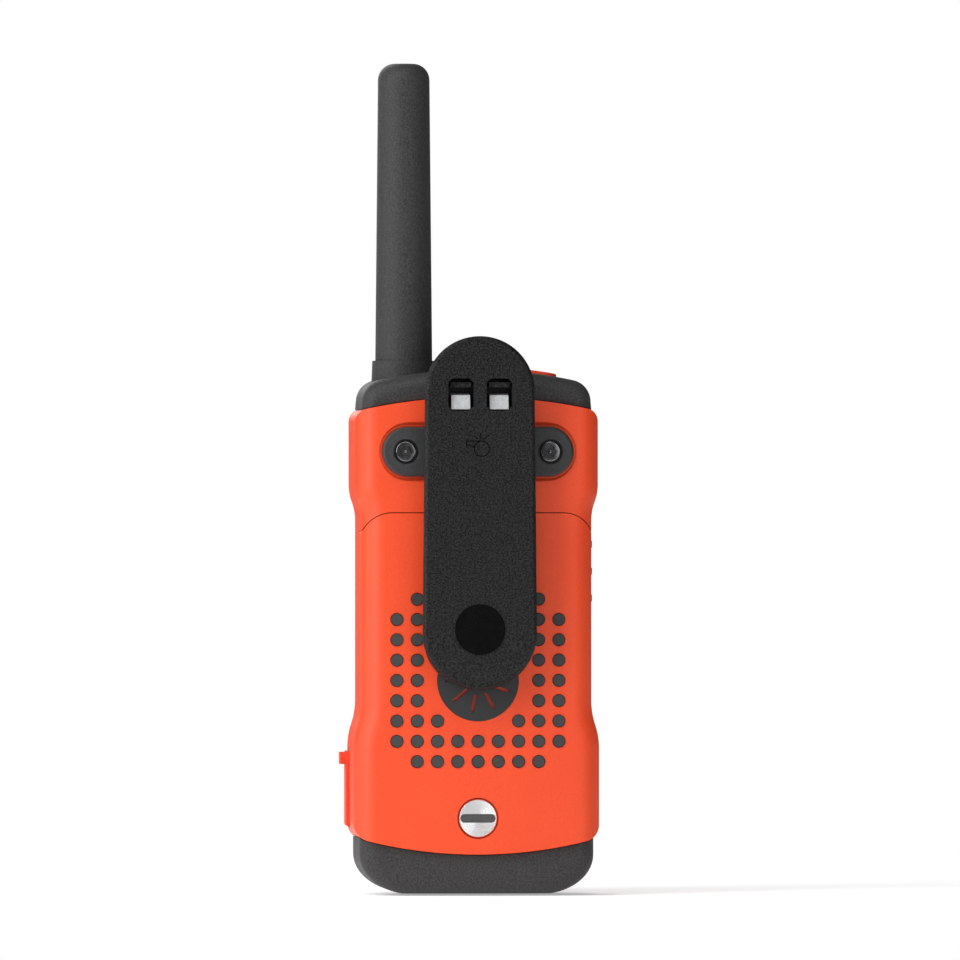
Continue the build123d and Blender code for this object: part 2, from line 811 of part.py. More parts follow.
case_screws = [
    screw(x, z, plate_back_y, *case_screw_head, case_screw_r, case_screw_length,
          case_screw_head[0] / 2)
    for x, z in case_screw_places
]
save("case_screws", Compound(children=case_screws))
bracket_screws = [
    screw(x, z, well_floor_y, screw_head_r, screw_head, screw_r - 0.02,
          screw_length, screw_head_r / 2)
    for x, z in bracket_screw_places
]
save("bracket_screws", Compound(children=bracket_screws))


# ---------------------------------------------------------------- charging port
def cover_face(grow, low_z):
    """Side view of the port cover: square at its hinge, round at the top."""
    high_z = port_z + cover_size[1] / 2 + grow
    shape = Pos(cover_y, (low_z + high_z) / 2) * Rectangle(
        cover_size[0] + 2 * grow, high_z - low_z)
    return fillet(shape.vertices().sort_by(Axis.Y)[-2:], cover_corner + grow)


cover_low_z = port_z - cover_size[1] / 2
cover_in_x = hip_half - cover_sink
cover_out_x = hip_half + cover_proud
cover_hinge_r = (cover_out_x - cover_in_x) / 2
cover_hinge_x = cover_in_x + cover_hinge_r
cover_hinge_z = cover_low_z + cover_hinge_r


# ---------------------------------------------------------------- front housing
def side_slot(size, corner, y, z, x0, x1, grow=0.0):
    """Rounded bar through a side wall, between two places along X."""
    shape = RectangleRounded(size[0] + 2 * grow, size[1] + 2 * grow, corner + grow)
    return along_x(Pos(y, z) * shape, x0, x1)


def front_moulding():
    """Front shell with a ledge for the fascia, a sealing rim and screw bosses."""
    solid = case_shell & front_half
    solid -= along_y(fascia_face(0), 2 * front_y, fascia_back_y)
    solid -= along_y(fascia_face(-ledge), 2 * front_y, inner_front_y + 1)
    rim_back = plate_front_y - gasket_height
    rim = body_outline(side_wall - 0.3) & band(plate_low_z, plate_high_z)
    rim -= body_outline(side_wall + rim_width) & band(
        plate_low_z + rim_width, plate_high_z - rim_width)
    solid += along_y(rim, rim_back - rim_height, rim_back)
    for x, z in case_screw_places:
        solid += disc_y(x, z, case_boss_r, inner_front_y - 0.5, plate_front_y)
    for x, z in case_screw_places:
        hole_end = plate_back_y - case_screw_length - 0.3
        solid -= disc_y(x, z, case_screw_r, hole_end, plate_front_y + 1)
    solid -= side_slot(ptt_size, ptt_corner, ptt_y, ptt_z, -2 * hip_half, -15, key_gap)
    outer = hip_half + 5
    recess = cover_face(seam, cover_low_z - seam)
    solid -= along_x(recess, cover_in_x, outer)
    solid -= side_slot(socket_size, 1.2, port_y, port_z, 20, outer, 0.6)
    return solid


save("front_housing", front_moulding())


# ---------------------------------------------------------------- push-to-talk bar
def ptt_bar():
    waist_x = -waist_half - ptt_proud
    inner_x = -inner_half
    bar = side_slot(ptt_size, ptt_corner, ptt_y, ptt_z, waist_x, inner_x + 2 * ease)
    bar = fillet(bar.faces().sort_by(Axis.X)[0].edges(), key_round)
    bar += side_slot(ptt_size, ptt_corner, ptt_y, ptt_z, inner_x + ease,
                     inner_x + ease + ptt_flange, key_overhang)
    for step in (-1, 0, 1):
        rib = Pos(ptt_y, ptt_z + step * rib_pitch) * SlotOverall(*rib_size)
        bar += along_x(rib, waist_x - rib_proud, waist_x + 0.3)
    nub = Pos(board_back_y + ptt_nub_rise, ptt_z) * Circle(ptt_nub_r)
    return bar + along_x(nub, inner_x + ease, ptt_nub_x)


save("ptt_button", ptt_bar())


def port_flap():
    """Rubber flap with a rolled hinge edge below, a thumb tab above and a plug inside."""
    flap = along_x(cover_face(0, cover_hinge_z), cover_in_x, cover_out_x)
    roll = Pos(cover_hinge_x, cover_y, cover_hinge_z) * Rot(90, 0, 0) * Cylinder(
        cover_hinge_r, cover_size[0])
    flap += roll
    tab_z = port_z + cover_size[1] / 2 - cover_tab_drop
    tab = Pos(cover_y, tab_z) * SlotOverall(*cover_tab[:2])
    flap += along_x(tab, cover_out_x - 0.3, cover_out_x + cover_tab[2])
    plug_size = (socket_size[0] - plug_play[0], socket_size[1] - plug_play[1])
    return flap + side_slot(plug_size, 1.0, port_y, port_z, cover_in_x - plug_reach,
                            cover_in_x + 0.2)


save("port_cover", port_flap())


# ---------------------------------------------------------------- rear housing
def bracket_face(grow):
    """Round-ended outline of the clip bracket."""
    return Pos(0, clip_z) * SlotOverall(2 * (bracket_half + grow), bracket_height + 2 * grow)


def rear_moulding():
    """Upper rear shell with a dished pocket for the clip bracket."""
    solid = case_shell & rear_half.moved(Location((0, -seam, 0)))
    solid -= along_y(door_face(seam), -1, 2 * back_y)
    pad = bracket_face(pocket_fit + pocket_wall)
    solid += along_y(pad, bracket_low_y - pocket_floor, back_y) & body_outer
    solid -= along_y(bracket_face(pocket_fit), bracket_low_y, 2 * back_y)
    dish_plane = Plane.XZ.offset(-(back_y - dish_depth))
    dish = dish_plane * bracket_face(pocket_fit + 0.3)
    solid -= extrude(dish, amount=-2.4, taper=-dish_slope)
    for x, z in bracket_screw_places:
        solid += disc_y(x, z, screw_boss_r, plate_back_y, bracket_low_y - 0.5)
        solid -= disc_y(x, z, screw_r + 0.25, plate_back_y - 1, bracket_low_y + 1)
    for side in (-1, 1):
        keeper = block(side * hook_x - hook_width / 2 - 1, side * hook_x + hook_width / 2 + 1,
                       hook_y - 0.6 - hook_thickness, hook_y - 0.3,
                       door_top_z + 0.6, door_top_z + hook_reach + 2)
        bridge = block(side * hook_x - hook_width / 2 - 1, side * hook_x + hook_width / 2 + 1,
                       hook_y - 0.6 - hook_thickness, inner_back_y + 0.3,
                       door_top_z + hook_reach + 0.6, door_top_z + hook_reach + 2)
        solid += keeper + bridge
    return solid


save("rear_housing", rear_moulding())


# ---------------------------------------------------------------- battery door
def stud_places():
    """Grid of studs about the medallion, kept between two rings."""
    count = int(stud_outer)
    for column in range(-count, count + 1):
        for row in range(-count, count + 1):
            ring = hypot(column, row)
            if stud_inner < ring < stud_outer and max(abs(column), abs(row)) <= 4:
                yield column * stud_pitch, stud_centre_z + row * stud_pitch


def door_moulding():
    """Rear shell below the parting line, pierced for the grip studs."""
    solid = case_shell & rear_half
    solid &= along_y(door_face(0), -1, 2 * back_y)
    solid -= along_y(sum_sketch(stud_hole_r), inner_back_y - 4, 2 * back_y)
    solid -= disc_y(0, stud_centre_z, medallion_r + 0.05, back_y - medallion_depth, 2 * back_y)
    boss = disc_y(0, lock_z, lock_r + 1.7, lug_y + lug_thickness + 0.4, inner_back_y + 0.3)
    solid += boss
    solid -= disc_y(0, lock_z, lock_bore_r, lock_seat_y, 2 * back_y)
    solid -= disc_y(0, lock_z, lock_shaft_r + run_fit, 0, 2 * back_y)
    for side in (-1, 1):
        solid += block(side * hook_x - hook_width / 2, side * hook_x + hook_width / 2,
                       hook_y, hook_y + hook_thickness, door_top_z - 4,
                       door_top_z + hook_reach)
        solid += block(side * hook_x - hook_width / 2, side * hook_x + hook_width / 2,
                       hook_y, inner_back_y + 0.2, door_top_z - 4, door_top_z - 0.8)
    return solid


def sum_sketch(radius):
    return Sketch() + [Pos(x, z) * Circle(radius) for x, z in stud_places()]


save("battery_door", door_moulding())


def grip_mat():
    """Rubber sheet behind the door with studs that stand through its holes."""
    reach = 4 * stud_pitch + 2.0
    sheet = Pos(0, stud_centre_z) * RectangleRounded(2 * reach, 2 * reach, 4)
    mat = along_y(sheet, inner_back_y - 3, inner_back_y + 1)
    mat &= behind_crown(inner_back_y - sheet_gap) - behind_crown(inner_back_y - mat_thickness)
    studs = along_y(sum_sketch(stud_r), inner_back_y - 1.6, 2 * back_y)
    studs &= behind_crown(back_y + stud_proud) - behind_crown(inner_back_y - 0.1)
    return mat + studs


save("grip_mat", grip_mat())


def medallion():
    """Inlaid disc with a fan of plain slits."""
    disc = disc_y(0, stud_centre_z, medallion_r, back_y - medallion_depth, back_y + 1)
    disc &= behind_crown(back_y + 0.05)
    slits = Sketch()
    for step in range(slit_count):
        ray = Pos(0, stud_centre_z) * Rot(0, 0, 360 * step / slit_count)
        slits += ray * Pos(5.4, 0) * SlotOverall(4.2, 0.7)
    return disc - along_y(slits, back_y - 2, back_y + 2)


save("door_medallion", medallion())
pad = Pos(0, stud_centre_z) * RectangleRounded(12, 30, 2)
pad_block = along_y(pad, cell_y + cell_r + 0.05, inner_back_y)
save("cell_pad", pad_block & behind_crown(inner_back_y - mat_thickness - sheet_gap))


# ---------------------------------------------------------------- coin lock
def lock_head_solid():
    """Slotted head and the shaft that carries the cam."""
    head = disc_y(0, lock_z, lock_r, lock_seat_y, back_y - lock_sink)
    head = chamfer(head.edges().filter_by(GeomType.CIRCLE).sort_by(Axis.Y)[-1], 0.3)
    slot = Pos(0, lock_z) * SlotOverall(*coin_slot)
    head -= along_y(slot, back_y - lock_sink - coin_slot_depth, back_y)
    head += disc_y(0, lock_z, lock_shaft_r, cam_low_y + cam_thickness, lock_seat_y + 0.01)
    return head + disc_y(0, lock_z, cam_spigot_r, cam_low_y, lug_y)


save("coin_lock", lock_head_solid())
cam = Pos(0, lock_z) * SlotOverall(2 * cam_half, cam_width)
cam_hub = Pos(0, lock_z) * Circle(cam_spigot_r)
save("lock_cam", along_y(cam - cam_hub, cam_low_y, cam_low_y + cam_thickness))


# ---------------------------------------------------------------- boot
boot_shell = boot_form(0) - boot_form(soft_wall) - case_gap
boot_shell -= along_y(band(hip_top_z - 14, 60), 2 * front_y, 2 * back_y)
save("front_boot", boot_shell & front_half)
toe = boot_shell & rear_half
save("door_toe", toe - block(-60, 60, 0, 60, -1, 0.2))


# ---------------------------------------------------------------- top cap
def top_key_face(grow):
    size_x, size_y = top_key_size
    shape = RectangleRounded(size_x + 2 * grow, size_y + 2 * grow, top_key_corner + grow)
    return Pos(top_key_x, 0) * shape


def cap_moulding():
    """Dark top cap with the antenna's collar and an opening for the top button."""
    solid = cap_form(0) - cap_form(soft_wall)
    solid -= case_gap
    solid -= along_y(band(0, case_height - 12), 2 * front_y, 2 * back_y)
    collar = Pos(antenna_x, 0, spigot_low_z) * Cone(
        collar_low_r, collar_high_r, collar_top_z - spigot_low_z,
        align=(Align.CENTER, Align.CENTER, Align.MIN))
    solid += collar
    solid -= along_z(Pos(antenna_x, 0) * Circle(collar_bore_r), spigot_low_z - 5, 200)
    return solid - along_z(top_key_face(key_gap), case_height - 8, 200)


save("top_cap", cap_moulding())


def arch_band(low, high):
    """Slice of the top cap's arch between two depths below its crown."""
    outer = Pos(0, case_height - cap_arch_r) * Circle(cap_arch_r - high)
    inner = Pos(0, case_height - cap_arch_r) * Circle(cap_arch_r - low)
    return along_y(outer - inner, 2 * front_y, 2 * back_y)


def top_button():
    """Rocker-shaped cap that follows the arch, with a skirt that holds it in."""
    low_z = case_height - 10
    cap = along_z(top_key_face(0), low_z, 200) & arch_band(soft_wall + 1.4, -top_key_proud)
    edges = cap.faces().sort_by(Axis.Z)[-1].edges()
    cap = fillet(edges, 0.4)
    skirt = along_z(top_key_face(top_key_skirt), low_z, 200)
    skirt &= arch_band(soft_wall + 1.4, soft_wall + 0.3)
    post = Pos(top_key_x, -3.4, top_switch_z + 0.1) * Cylinder(
        1.6, 3.0 + top_key_travel, align=(Align.CENTER, Align.CENTER, Align.MIN))
    return cap + skirt + (post - arch_cut)


top_switch_z = case_height - 7.2
arch_cut = along_y(
    band(0, 200) - Pos(0, case_height - cap_arch_r) * Circle(cap_arch_r - soft_wall - 0.4),
    2 * front_y, 2 * back_y)
top_switch_tip = top_switch_z - top_key_travel
save("top_button", top_button())
switch = block(top_key_x - 3, top_key_x + 3, board_back_y, 0, top_switch_tip - 4.2,
               top_switch_tip - 0.8)
switch += Pos(top_key_x, -3.4, top_switch_tip - 1) * Cylinder(
    1.2, 1.0, align=(Align.CENTER, Align.CENTER, Align.MIN))
save("top_switch", switch)


# ---------------------------------------------------------------- antenna
def sleeve():
    """Tapered rubber sleeve with a rounded tip, a spigot below and a bore for the whip."""
    body = Pos(antenna_x, 0, collar_top_z) * Cone(
        antenna_low_r, antenna_high_r, antenna_top_z - collar_top_z,
        align=(Align.CENTER, Align.CENTER, Align.MIN))
    tip = body.edges().filter_by(GeomType.CIRCLE).sort_by(Axis.Z)[-1]
    body = fillet(tip, antenna_round)
    body += along_z(Pos(antenna_x, 0) * Circle(spigot_r), spigot_low_z, collar_top_z + 0.01)
    return body - along_z(Pos(antenna_x, 0) * Circle(whip_r), 0, antenna_top_z - 6)


save("antenna_sleeve", sleeve())
save("antenna_whip", along_z(
    Pos(antenna_x, 0) * Circle(whip_r), spigot_low_z - 3, antenna_top_z - 6))
ferrule = along_z(Pos(antenna_x, 0) * Circle(ferrule_flange_r), spigot_low_z - 1.6, spigot_low_z)
ferrule += along_z(Pos(antenna_x, 0) * Circle(ferrule_r), spigot_low_z - 4.2, spigot_low_z - 1.5)
ferrule -= along_z(Pos(antenna_x, 0) * Circle(whip_r), spigot_low_z - 3, spigot_low_z + 1)
save("antenna_ferrule", ferrule)
strip = block(antenna_x - 1.5, antenna_x + 1.5, board_back_y, -ferrule_r,
              spigot_low_z - 3.6, spigot_low_z - 3.2)
save("antenna_contact", strip + block(
    antenna_x - 1.5, antenna_x + 1.5, board_back_y, board_back_y + 0.4,
    spigot_low_z - 6.5, spigot_low_z - 3.2))


# ---------------------------------------------------------------- clip bracket and pin
def bracket():
    """Screwed bar with two ears for the clip's pin."""
    bar = along_y(bracket_face(0), bracket_low_y, bracket_high_y)
    bar = chamfer(bar.faces().sort_by(Axis.Y)[-1].edges(), bracket_bevel)
    for x, z in bracket_screw_places:
        bar -= disc_y(x, z, well_r, well_floor_y, 2 * back_y)
        bar -= disc_y(x, z, screw_r + 0.1, bracket_low_y - 1, 2 * back_y)
    ear = Pos(pin_y, clip_z) * Circle(knuckle_r)
    ear += Pos((pin_y + bracket_low_y) / 2, clip_z) * Rectangle(
        pin_y - bracket_low_y, 2 * knuckle_r)
    for side in (-1, 1):
        low, high = sorted((side * ear_in, side * ear_out))
        bar += along_x(ear, low, high)
    return bar - along_x(Pos(pin_y, clip_z) * Circle(pin_r), -20, 20)


save("clip_bracket", bracket())
save("clip_pin", along_x(
    Pos(pin_y, clip_z) * Circle(pin_r), -knuckle_out - 0.8, knuckle_out + 0.8))


def torsion_spring():
    """Coil round the pin, its turns drawn as grooves."""
    turns = 6
    half = ear_in - 0.6
    points = [(-half, pin_r + 0.1)]
    for step in range(2 * turns + 1):
        depth = 0.0 if step % 2 else 0.35
        points.append((-half + step * half / turns, knuckle_r - 0.25 - depth))
    points.append((half, pin_r + 0.1))
    face = make_face(Polyline(*points, close=True))
    face = Pos(0, pin_y, clip_z) * face
    return revolve(face, Axis((0, pin_y, clip_z), (1, 0, 0)))


save("clip_spring", torsion_spring())


# ---------------------------------------------------------------- belt clip
def clip_outline():
    """Two unequal round ends joined by their common tangents."""
    top_z = clip_z + clip_above - clip_top_r
    tip_z = clip_tip_z + clip_tip_r
    lean = (clip_tip_r - clip_top_r) / (top_z - tip_z)
    flat = sqrt(1 - lean ** 2)
    top = (clip_top_r * flat, top_z + clip_top_r * lean)
    tip = (clip_tip_r * flat, tip_z + clip_tip_r * lean)
    return make_face([
        ThreePointArc((-top[0], top[1]), (0, top_z + clip_top_r), top),
        Line(top, tip),
        ThreePointArc(tip, (0, clip_tip_z), (-tip[0], tip[1])),
        Line((-tip[0], tip[1]), (-top[0], top[1])),
    ])


def clip_profile(depth):
    """Side view of the clip's plate down to a depth below its outer face."""
    top_z = clip_z + clip_above + 1
    end_z = clip_tip_z - 1
    bend_z = clip_z - clip_bend
    face_y = clip_outer_y - depth
    edges = [
        Line((0, top_z), (face_y, top_z)),
        Line((face_y, top_z), (face_y, bend_z)),
        TangentArc((face_y, bend_z), (face_y - tip_sweep, end_z), tangent=(0, -1)),
        Line((face_y - tip_sweep, end_z), (0, end_z)),
        Line((0, end_z), (0, top_z)),
    ]
    return make_face(edges)


def clip_plate():
    """Lever with a pinch head, a whistle block, knuckles and a lip at its tip."""
    outline = clip_outline()
    solid = along_y(outline, 0, 2 * back_y) & along_x(clip_profile(0), -30, 30)
    outer = [f for f in solid.faces() if f.normal_at().Y > 0.7]
    rim = [e for f in outer for e in f.edges() if abs(e.tangent_at(0.5).X) < 0.999
           or e.center().Z > clip_z or e.center().Z < clip_tip_z + clip_bevel]
    solid = chamfer(rim, clip_bevel)
    solid -= along_x(clip_profile(clip_thickness), -30, 30)
    lip = Polygon(
        (clip_inner_y + 0.5, clip_tip_z + 10),
        (lip_y, clip_tip_z + 4.6),
        (lip_y, clip_tip_z + 2.6),
        (lip_y + 1.6, clip_tip_z - 1),
        (clip_inner_y, clip_tip_z - 1),
        align=None,
    )
    solid += along_x(lip, -30, 30) & along_y(outline, 0, clip_inner_y + 0.6)
    head = Pos(0, (whistle_low_z + whistle_high_z) / 2) * RectangleRounded(
        2 * whistle_half, whistle_high_z - whistle_low_z, 3.5)
    solid += along_y(head, clip_inner_y - whistle_depth, clip_inner_y + 0.3)
    for side in (-1, 1):
        low, high = sorted((side * knuckle_in, side * knuckle_out))
        ear = Pos(pin_y, clip_z) * Circle(knuckle_r)
        ear += Pos((pin_y + clip_inner_y + 0.3) / 2, clip_z) * Rectangle(
            clip_inner_y + 0.3 - pin_y, 2 * knuckle_r)
        solid += along_x(ear, low, high)
    solid -= along_x(Pos(pin_y, clip_z) * Circle(pin_r + run_fit), -20, 20)
    for side in (-1, 1):
        window = Pos(side * reed_x, reed_z) * Rectangle(*reed_window)
        window = chamfer(window.vertices(), reed_corner)
        solid -= along_y(window, reed_floor_y, 2 * back_y)
        solid += block(side * reed_x - lintel_half, side * reed_x + lintel_half,
                       reed_floor_y - 0.2, clip_outer_y - lintel_sink, lintel_z[0], lintel_z[1])
    return solid - disc_y(0, disc_z, disc_r + 0.05, clip_outer_y - disc_depth, 2 * back_y)


save("belt_clip", clip_plate())


def whistle_insert():
    """Two ramps that split the air, one in each window."""
    low_z = reed_z - reed_window[1] / 2
    wedge = Polygon(
        (reed_floor_y, low_z + 0.3),
        (reed_floor_y + 3.2, low_z + 0.3),
        (reed_floor_y + 2.4, low_z + 3.5),
        (reed_floor_y, low_z + 3.9),
        align=None,
    )
    parts = []
    for side in (-1, 1):
        x = side * reed_x
        parts.append(along_x(wedge, x - ramp_half, x + ramp_half))
    return Compound(children=parts)


save("whistle_ramps", whistle_insert())
save("clip_disc", disc_y(0, disc_z, disc_r, clip_outer_y - disc_depth, clip_outer_y + 0.1))
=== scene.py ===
import bpy
import bmesh
import json
from math import atan2, cos, pi, radians, sin
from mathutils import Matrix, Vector

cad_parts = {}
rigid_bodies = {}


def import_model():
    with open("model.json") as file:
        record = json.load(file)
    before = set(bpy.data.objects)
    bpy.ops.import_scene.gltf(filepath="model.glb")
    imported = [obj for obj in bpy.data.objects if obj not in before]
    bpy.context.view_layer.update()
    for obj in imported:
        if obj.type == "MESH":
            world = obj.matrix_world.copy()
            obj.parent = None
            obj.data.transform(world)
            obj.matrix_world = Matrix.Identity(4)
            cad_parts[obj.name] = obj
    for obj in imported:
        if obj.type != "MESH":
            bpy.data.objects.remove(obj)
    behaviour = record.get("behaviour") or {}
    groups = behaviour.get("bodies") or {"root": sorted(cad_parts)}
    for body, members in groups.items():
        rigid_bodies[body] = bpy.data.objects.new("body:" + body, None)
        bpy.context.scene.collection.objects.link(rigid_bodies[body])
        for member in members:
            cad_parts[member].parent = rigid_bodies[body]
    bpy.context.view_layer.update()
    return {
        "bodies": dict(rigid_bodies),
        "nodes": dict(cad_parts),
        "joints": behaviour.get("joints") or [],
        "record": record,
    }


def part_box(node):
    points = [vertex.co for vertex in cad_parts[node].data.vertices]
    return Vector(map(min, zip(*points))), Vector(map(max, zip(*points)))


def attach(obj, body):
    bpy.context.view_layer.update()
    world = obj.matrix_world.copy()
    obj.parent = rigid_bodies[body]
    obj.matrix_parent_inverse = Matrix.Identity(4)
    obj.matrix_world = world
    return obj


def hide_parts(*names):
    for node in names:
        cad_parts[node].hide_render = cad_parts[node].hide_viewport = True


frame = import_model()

nodes = frame["nodes"]
mm = 0.001
waveFactor = 0.314       # a wave texture repeats every 0.314 / Scale
print("frame loaded,", len(nodes), "CAD nodes")


def linearColour(hexValue, alpha=1.0):
    # sRGB hex to linear
    channels = []
    for start in (0, 2, 4):
        c = int(hexValue[start:start + 2], 16) / 255
        channels.append(c / 12.92 if c <= 0.04045 else ((c + 0.055) / 1.055) ** 2.4)
    return (*channels, alpha)


def addNode(tree, kind, links=None, **settings):
    # one shader node: plain names set its properties, links sets or joins its inputs
    node = tree.nodes.new(kind)
    for name, value in settings.items():
        setattr(node, name, value)
    for socket, value in (links or {}).items():
        if isinstance(value, bpy.types.NodeSocket):
            tree.links.new(value, node.inputs[socket])
        else:
            node.inputs[socket].default_value = value
    return node


def startMaterial(name):
    material = bpy.data.materials.new(name)
    material.use_nodes = True
    tree = material.node_tree
    tree.nodes.clear()
    shader = addNode(tree, "ShaderNodeBsdfPrincipled")
    out = addNode(tree, "ShaderNodeOutputMaterial")
    tree.links.new(shader.outputs[0], out.inputs["Surface"])
    place = addNode(tree, "ShaderNodeTexCoord").outputs["Object"]
    return material, tree, shader, place


def grainBump(tree, place, sizeMm, depthMm, detail=2.0, rough=0.5, strength=1.0, under=None):
    # even moulded grain, its scale from the grain's size in millimetres
    noise = addNode(tree, "ShaderNodeTexNoise", {
        "Vector": place, "Scale": 1 / (sizeMm * mm), "Detail": detail, "Roughness": rough})
    links = {"Height": noise.outputs["Fac"], "Distance": depthMm * mm, "Strength": strength}
    if under is not None:
        links["Normal"] = under
    return addNode(tree, "ShaderNodeBump", links).outputs["Normal"], noise.outputs["Fac"]


def spread(tree, value, low, high):
    # maps the middle of a noise onto a narrow range
    return addNode(tree, "ShaderNodeMapRange", {
        "Value": value, "From Min": 0.3, "From Max": 0.7, "To Min": low, "To Max": high},
        clamp=True).outputs["Result"]


def twoColours(tree, fac, first, second, soft=0.15):
    ramp = addNode(tree, "ShaderNodeValToRGB", {"Fac": fac})
    ramp.color_ramp.elements[0].position = 0.5 - soft
    ramp.color_ramp.elements[1].position = 0.5 + soft
    ramp.color_ramp.elements[0].color = linearColour(first)
    ramp.color_ramp.elements[1].color = linearColour(second)
    return ramp.outputs["Color"]


def mouldedPlastic(name, look):
    # injection moulded ABS or nylon: one colour, a fine etched grain, slight flow variation
    material, tree, shader, place = startMaterial(name)
    cloud = addNode(tree, "ShaderNodeTexNoise", {
        "Vector": place, "Scale": 1 / (look["cloudMm"] * mm), "Detail": 3.0})
    normal, fine = grainBump(tree, place, look["grainMm"], look["grainDepthMm"])
    # the fleck share ties the colour to the grain's height, darker in the pits and lighter on
    # the raised grain; on the clip, whose two colours lie far apart, this is painted shade in
    # the pits and painted highlight specks on the peaks
    blend = addNode(tree, "ShaderNodeMix", {
        "Factor": look.get("fleck", 0.5), "A": cloud.outputs["Fac"], "B": fine})
    colour = twoColours(tree, blend.outputs["Result"], look["colour"], look["colourAlt"],
                        look.get("soft", 0.15))
    tree.links.new(colour, shader.inputs["Base Color"])
    tree.links.new(spread(tree, fine, look["rough"][0], look["rough"][1]),
                   shader.inputs["Roughness"])
    tree.links.new(normal, shader.inputs["Normal"])
    shader.inputs["IOR"].default_value = look.get("ior", 1.53)
    shader.inputs["Specular IOR Level"].default_value = look.get("specular", 0.5)
    if "sheen" in look:      # soft-touch rubbers scatter light at grazing angles
        shader.inputs["Sheen Weight"].default_value = look["sheen"]
        shader.inputs["Sheen Roughness"].default_value = 0.5
    if "coat" in look:
        shader.inputs["Coat Weight"].default_value = look["coat"]
        shader.inputs["Coat Roughness"].default_value = 0.03
    return material


# satin moulded shell: broad soft highlights, the etch only just seen
orangeLook = {"colour": "E04012", "colourAlt": "E84B1C", "cloudMm": 30, "grainMm": 0.40,
              "grainDepthMm": 0.018, "rough": (0.42, 0.52), "specular": 0.42,
              "fleck": 0.6}
orangeShell = mouldedPlastic("Moulded ABS orange satin", orangeLook)

# silicone of the cover and button: duller than the shell beside it
orangeRubberLook = {"colour": "DA3D1C", "colourAlt": "E04422", "cloudMm": 20, "grainMm": 0.35,
                    "grainDepthMm": 0.012, "rough": (0.55, 0.65), "specular": 0.3,
                    "sheen": 0.03}
orangeRubber = mouldedPlastic("Moulded silicone orange", orangeRubberLook)

# soft-touch overmoulding keeps the mould's even grain, drawn at 0.34 mm so that it shows
softTouchLook = {"colour": "222222", "colourAlt": "3A3A3A", "cloudMm": 15, "grainMm": 0.34,
                 "grainDepthMm": 0.045, "rough": (0.55, 0.70), "specular": 0.34,
                 "sheen": 0.03, "fleck": 0.95, "soft": 0.12}
softTouch = mouldedPlastic("Overmoulded TPE dark grey", softTouchLook)

# the studs are lighter and duller than the boot
studLook = {"colour": "333333", "colourAlt": "3C3C3C", "cloudMm": 4, "grainMm": 0.35,
            "grainDepthMm": 0.02, "rough": (0.66, 0.78), "specular": 0.36, "sheen": 0.04,
            "fleck": 0.7}
studRubber = mouldedPlastic("Moulded TPE stud grey", studLook)

# nearly even grey, so the slits read clearly; kept dark partly because the inlay is smoother
# and partly as painted shade from the clip just above it
medallionShadedLook = {"colour": "272828", "colourAlt": "2B2C2C", "cloudMm": 6, "grainMm": 0.3,
                 "grainDepthMm": 0.006, "rough": (0.52, 0.62), "specular": 0.36}
medallionShadedPlastic = mouldedPlastic("Moulded nylon inlay grey with painted clip shade", medallionShadedLook)

# satin charcoal with a visible etch, for the fascia, bracket and chassis
darkPlasticLook = {"colour": "262728", "colourAlt": "343536", "cloudMm": 10, "grainMm": 0.40,
                   "grainDepthMm": 0.03, "rough": (0.48, 0.60), "specular": 0.4,
                   "fleck": 0.8}
darkPlastic = mouldedPlastic("Moulded ABS charcoal", darkPlasticLook)

# spark-eroded mould finish: real pits are finer, drawn at 0.36 mm so that they show; the colour
# follows the grain's height, so the near black in the pits is painted shade and the grey on the
# peaks is painted highlight specks
clipPaintedPitsLook = {"colour": "030303", "colourAlt": "2A2A2A", "cloudMm": 12, "grainMm": 0.36,
            "grainDepthMm": 0.08, "rough": (0.38, 0.55), "specular": 0.16, "fleck": 1.0,
            "soft": 0.11}
clipNylonPaintedPits = mouldedPlastic("Spark textured nylon black with painted pit shade", clipPaintedPitsLook)

# mirror polished inlay: reads as a black disc with a sharp reflection
glossLook = {"colour": "050505", "colourAlt": "070707", "cloudMm": 10, "grainMm": 2.0,
             "grainDepthMm": 0.001, "rough": (0.10, 0.14), "specular": 0.35, "coat": 0.15}
glossBlack = mouldedPlastic("Polished polycarbonate black", glossLook)

# pale satin ramps that stand out in the whistle's windows
rampLook = {"colour": "A9ABAD", "colourAlt": "BDBFC1", "cloudMm": 2, "grainMm": 0.5,
            "grainDepthMm": 0.010, "rough": (0.30, 0.42)}
rampPlastic = mouldedPlastic("Moulded acetal light grey", rampLook)

# matt key tops, darker than the fascia
keyLook = {"colour": "151516", "colourAlt": "1B1B1C", "cloudMm": 6, "grainMm": 0.3,
           "grainDepthMm": 0.012, "rough": (0.52, 0.66), "sheen": 0.04, "fleck": 0.7}
keyRubber = mouldedPlastic("Moulded silicone black", keyLook)

# fibrous and almost without shine
feltLook = {"colour": "0E0E0E", "colourAlt": "1A1A1A", "cloudMm": 1, "grainMm": 0.3,
            "grainDepthMm": 0.08, "rough": (0.85, 0.95), "sheen": 0.2}
blackFelt = mouldedPlastic("Pressed felt black", feltLook)

# glossy lacquer over the copper
boardLook = {"colour": "0C4A26", "colourAlt": "0E5229", "cloudMm": 2, "grainMm": 0.8,
             "grainDepthMm": 0.01, "rough": (0.22, 0.34)}
solderMask = mouldedPlastic("Solder mask green", boardLook)

# flat white ink
printLook = {"colour": "D2D4D5", "colourAlt": "DEE0E1", "cloudMm": 5, "grainMm": 0.2,
             "grainDepthMm": 0.003, "rough": (0.45, 0.55)}
whiteInk = mouldedPlastic("Pad printed ink white", printLook)

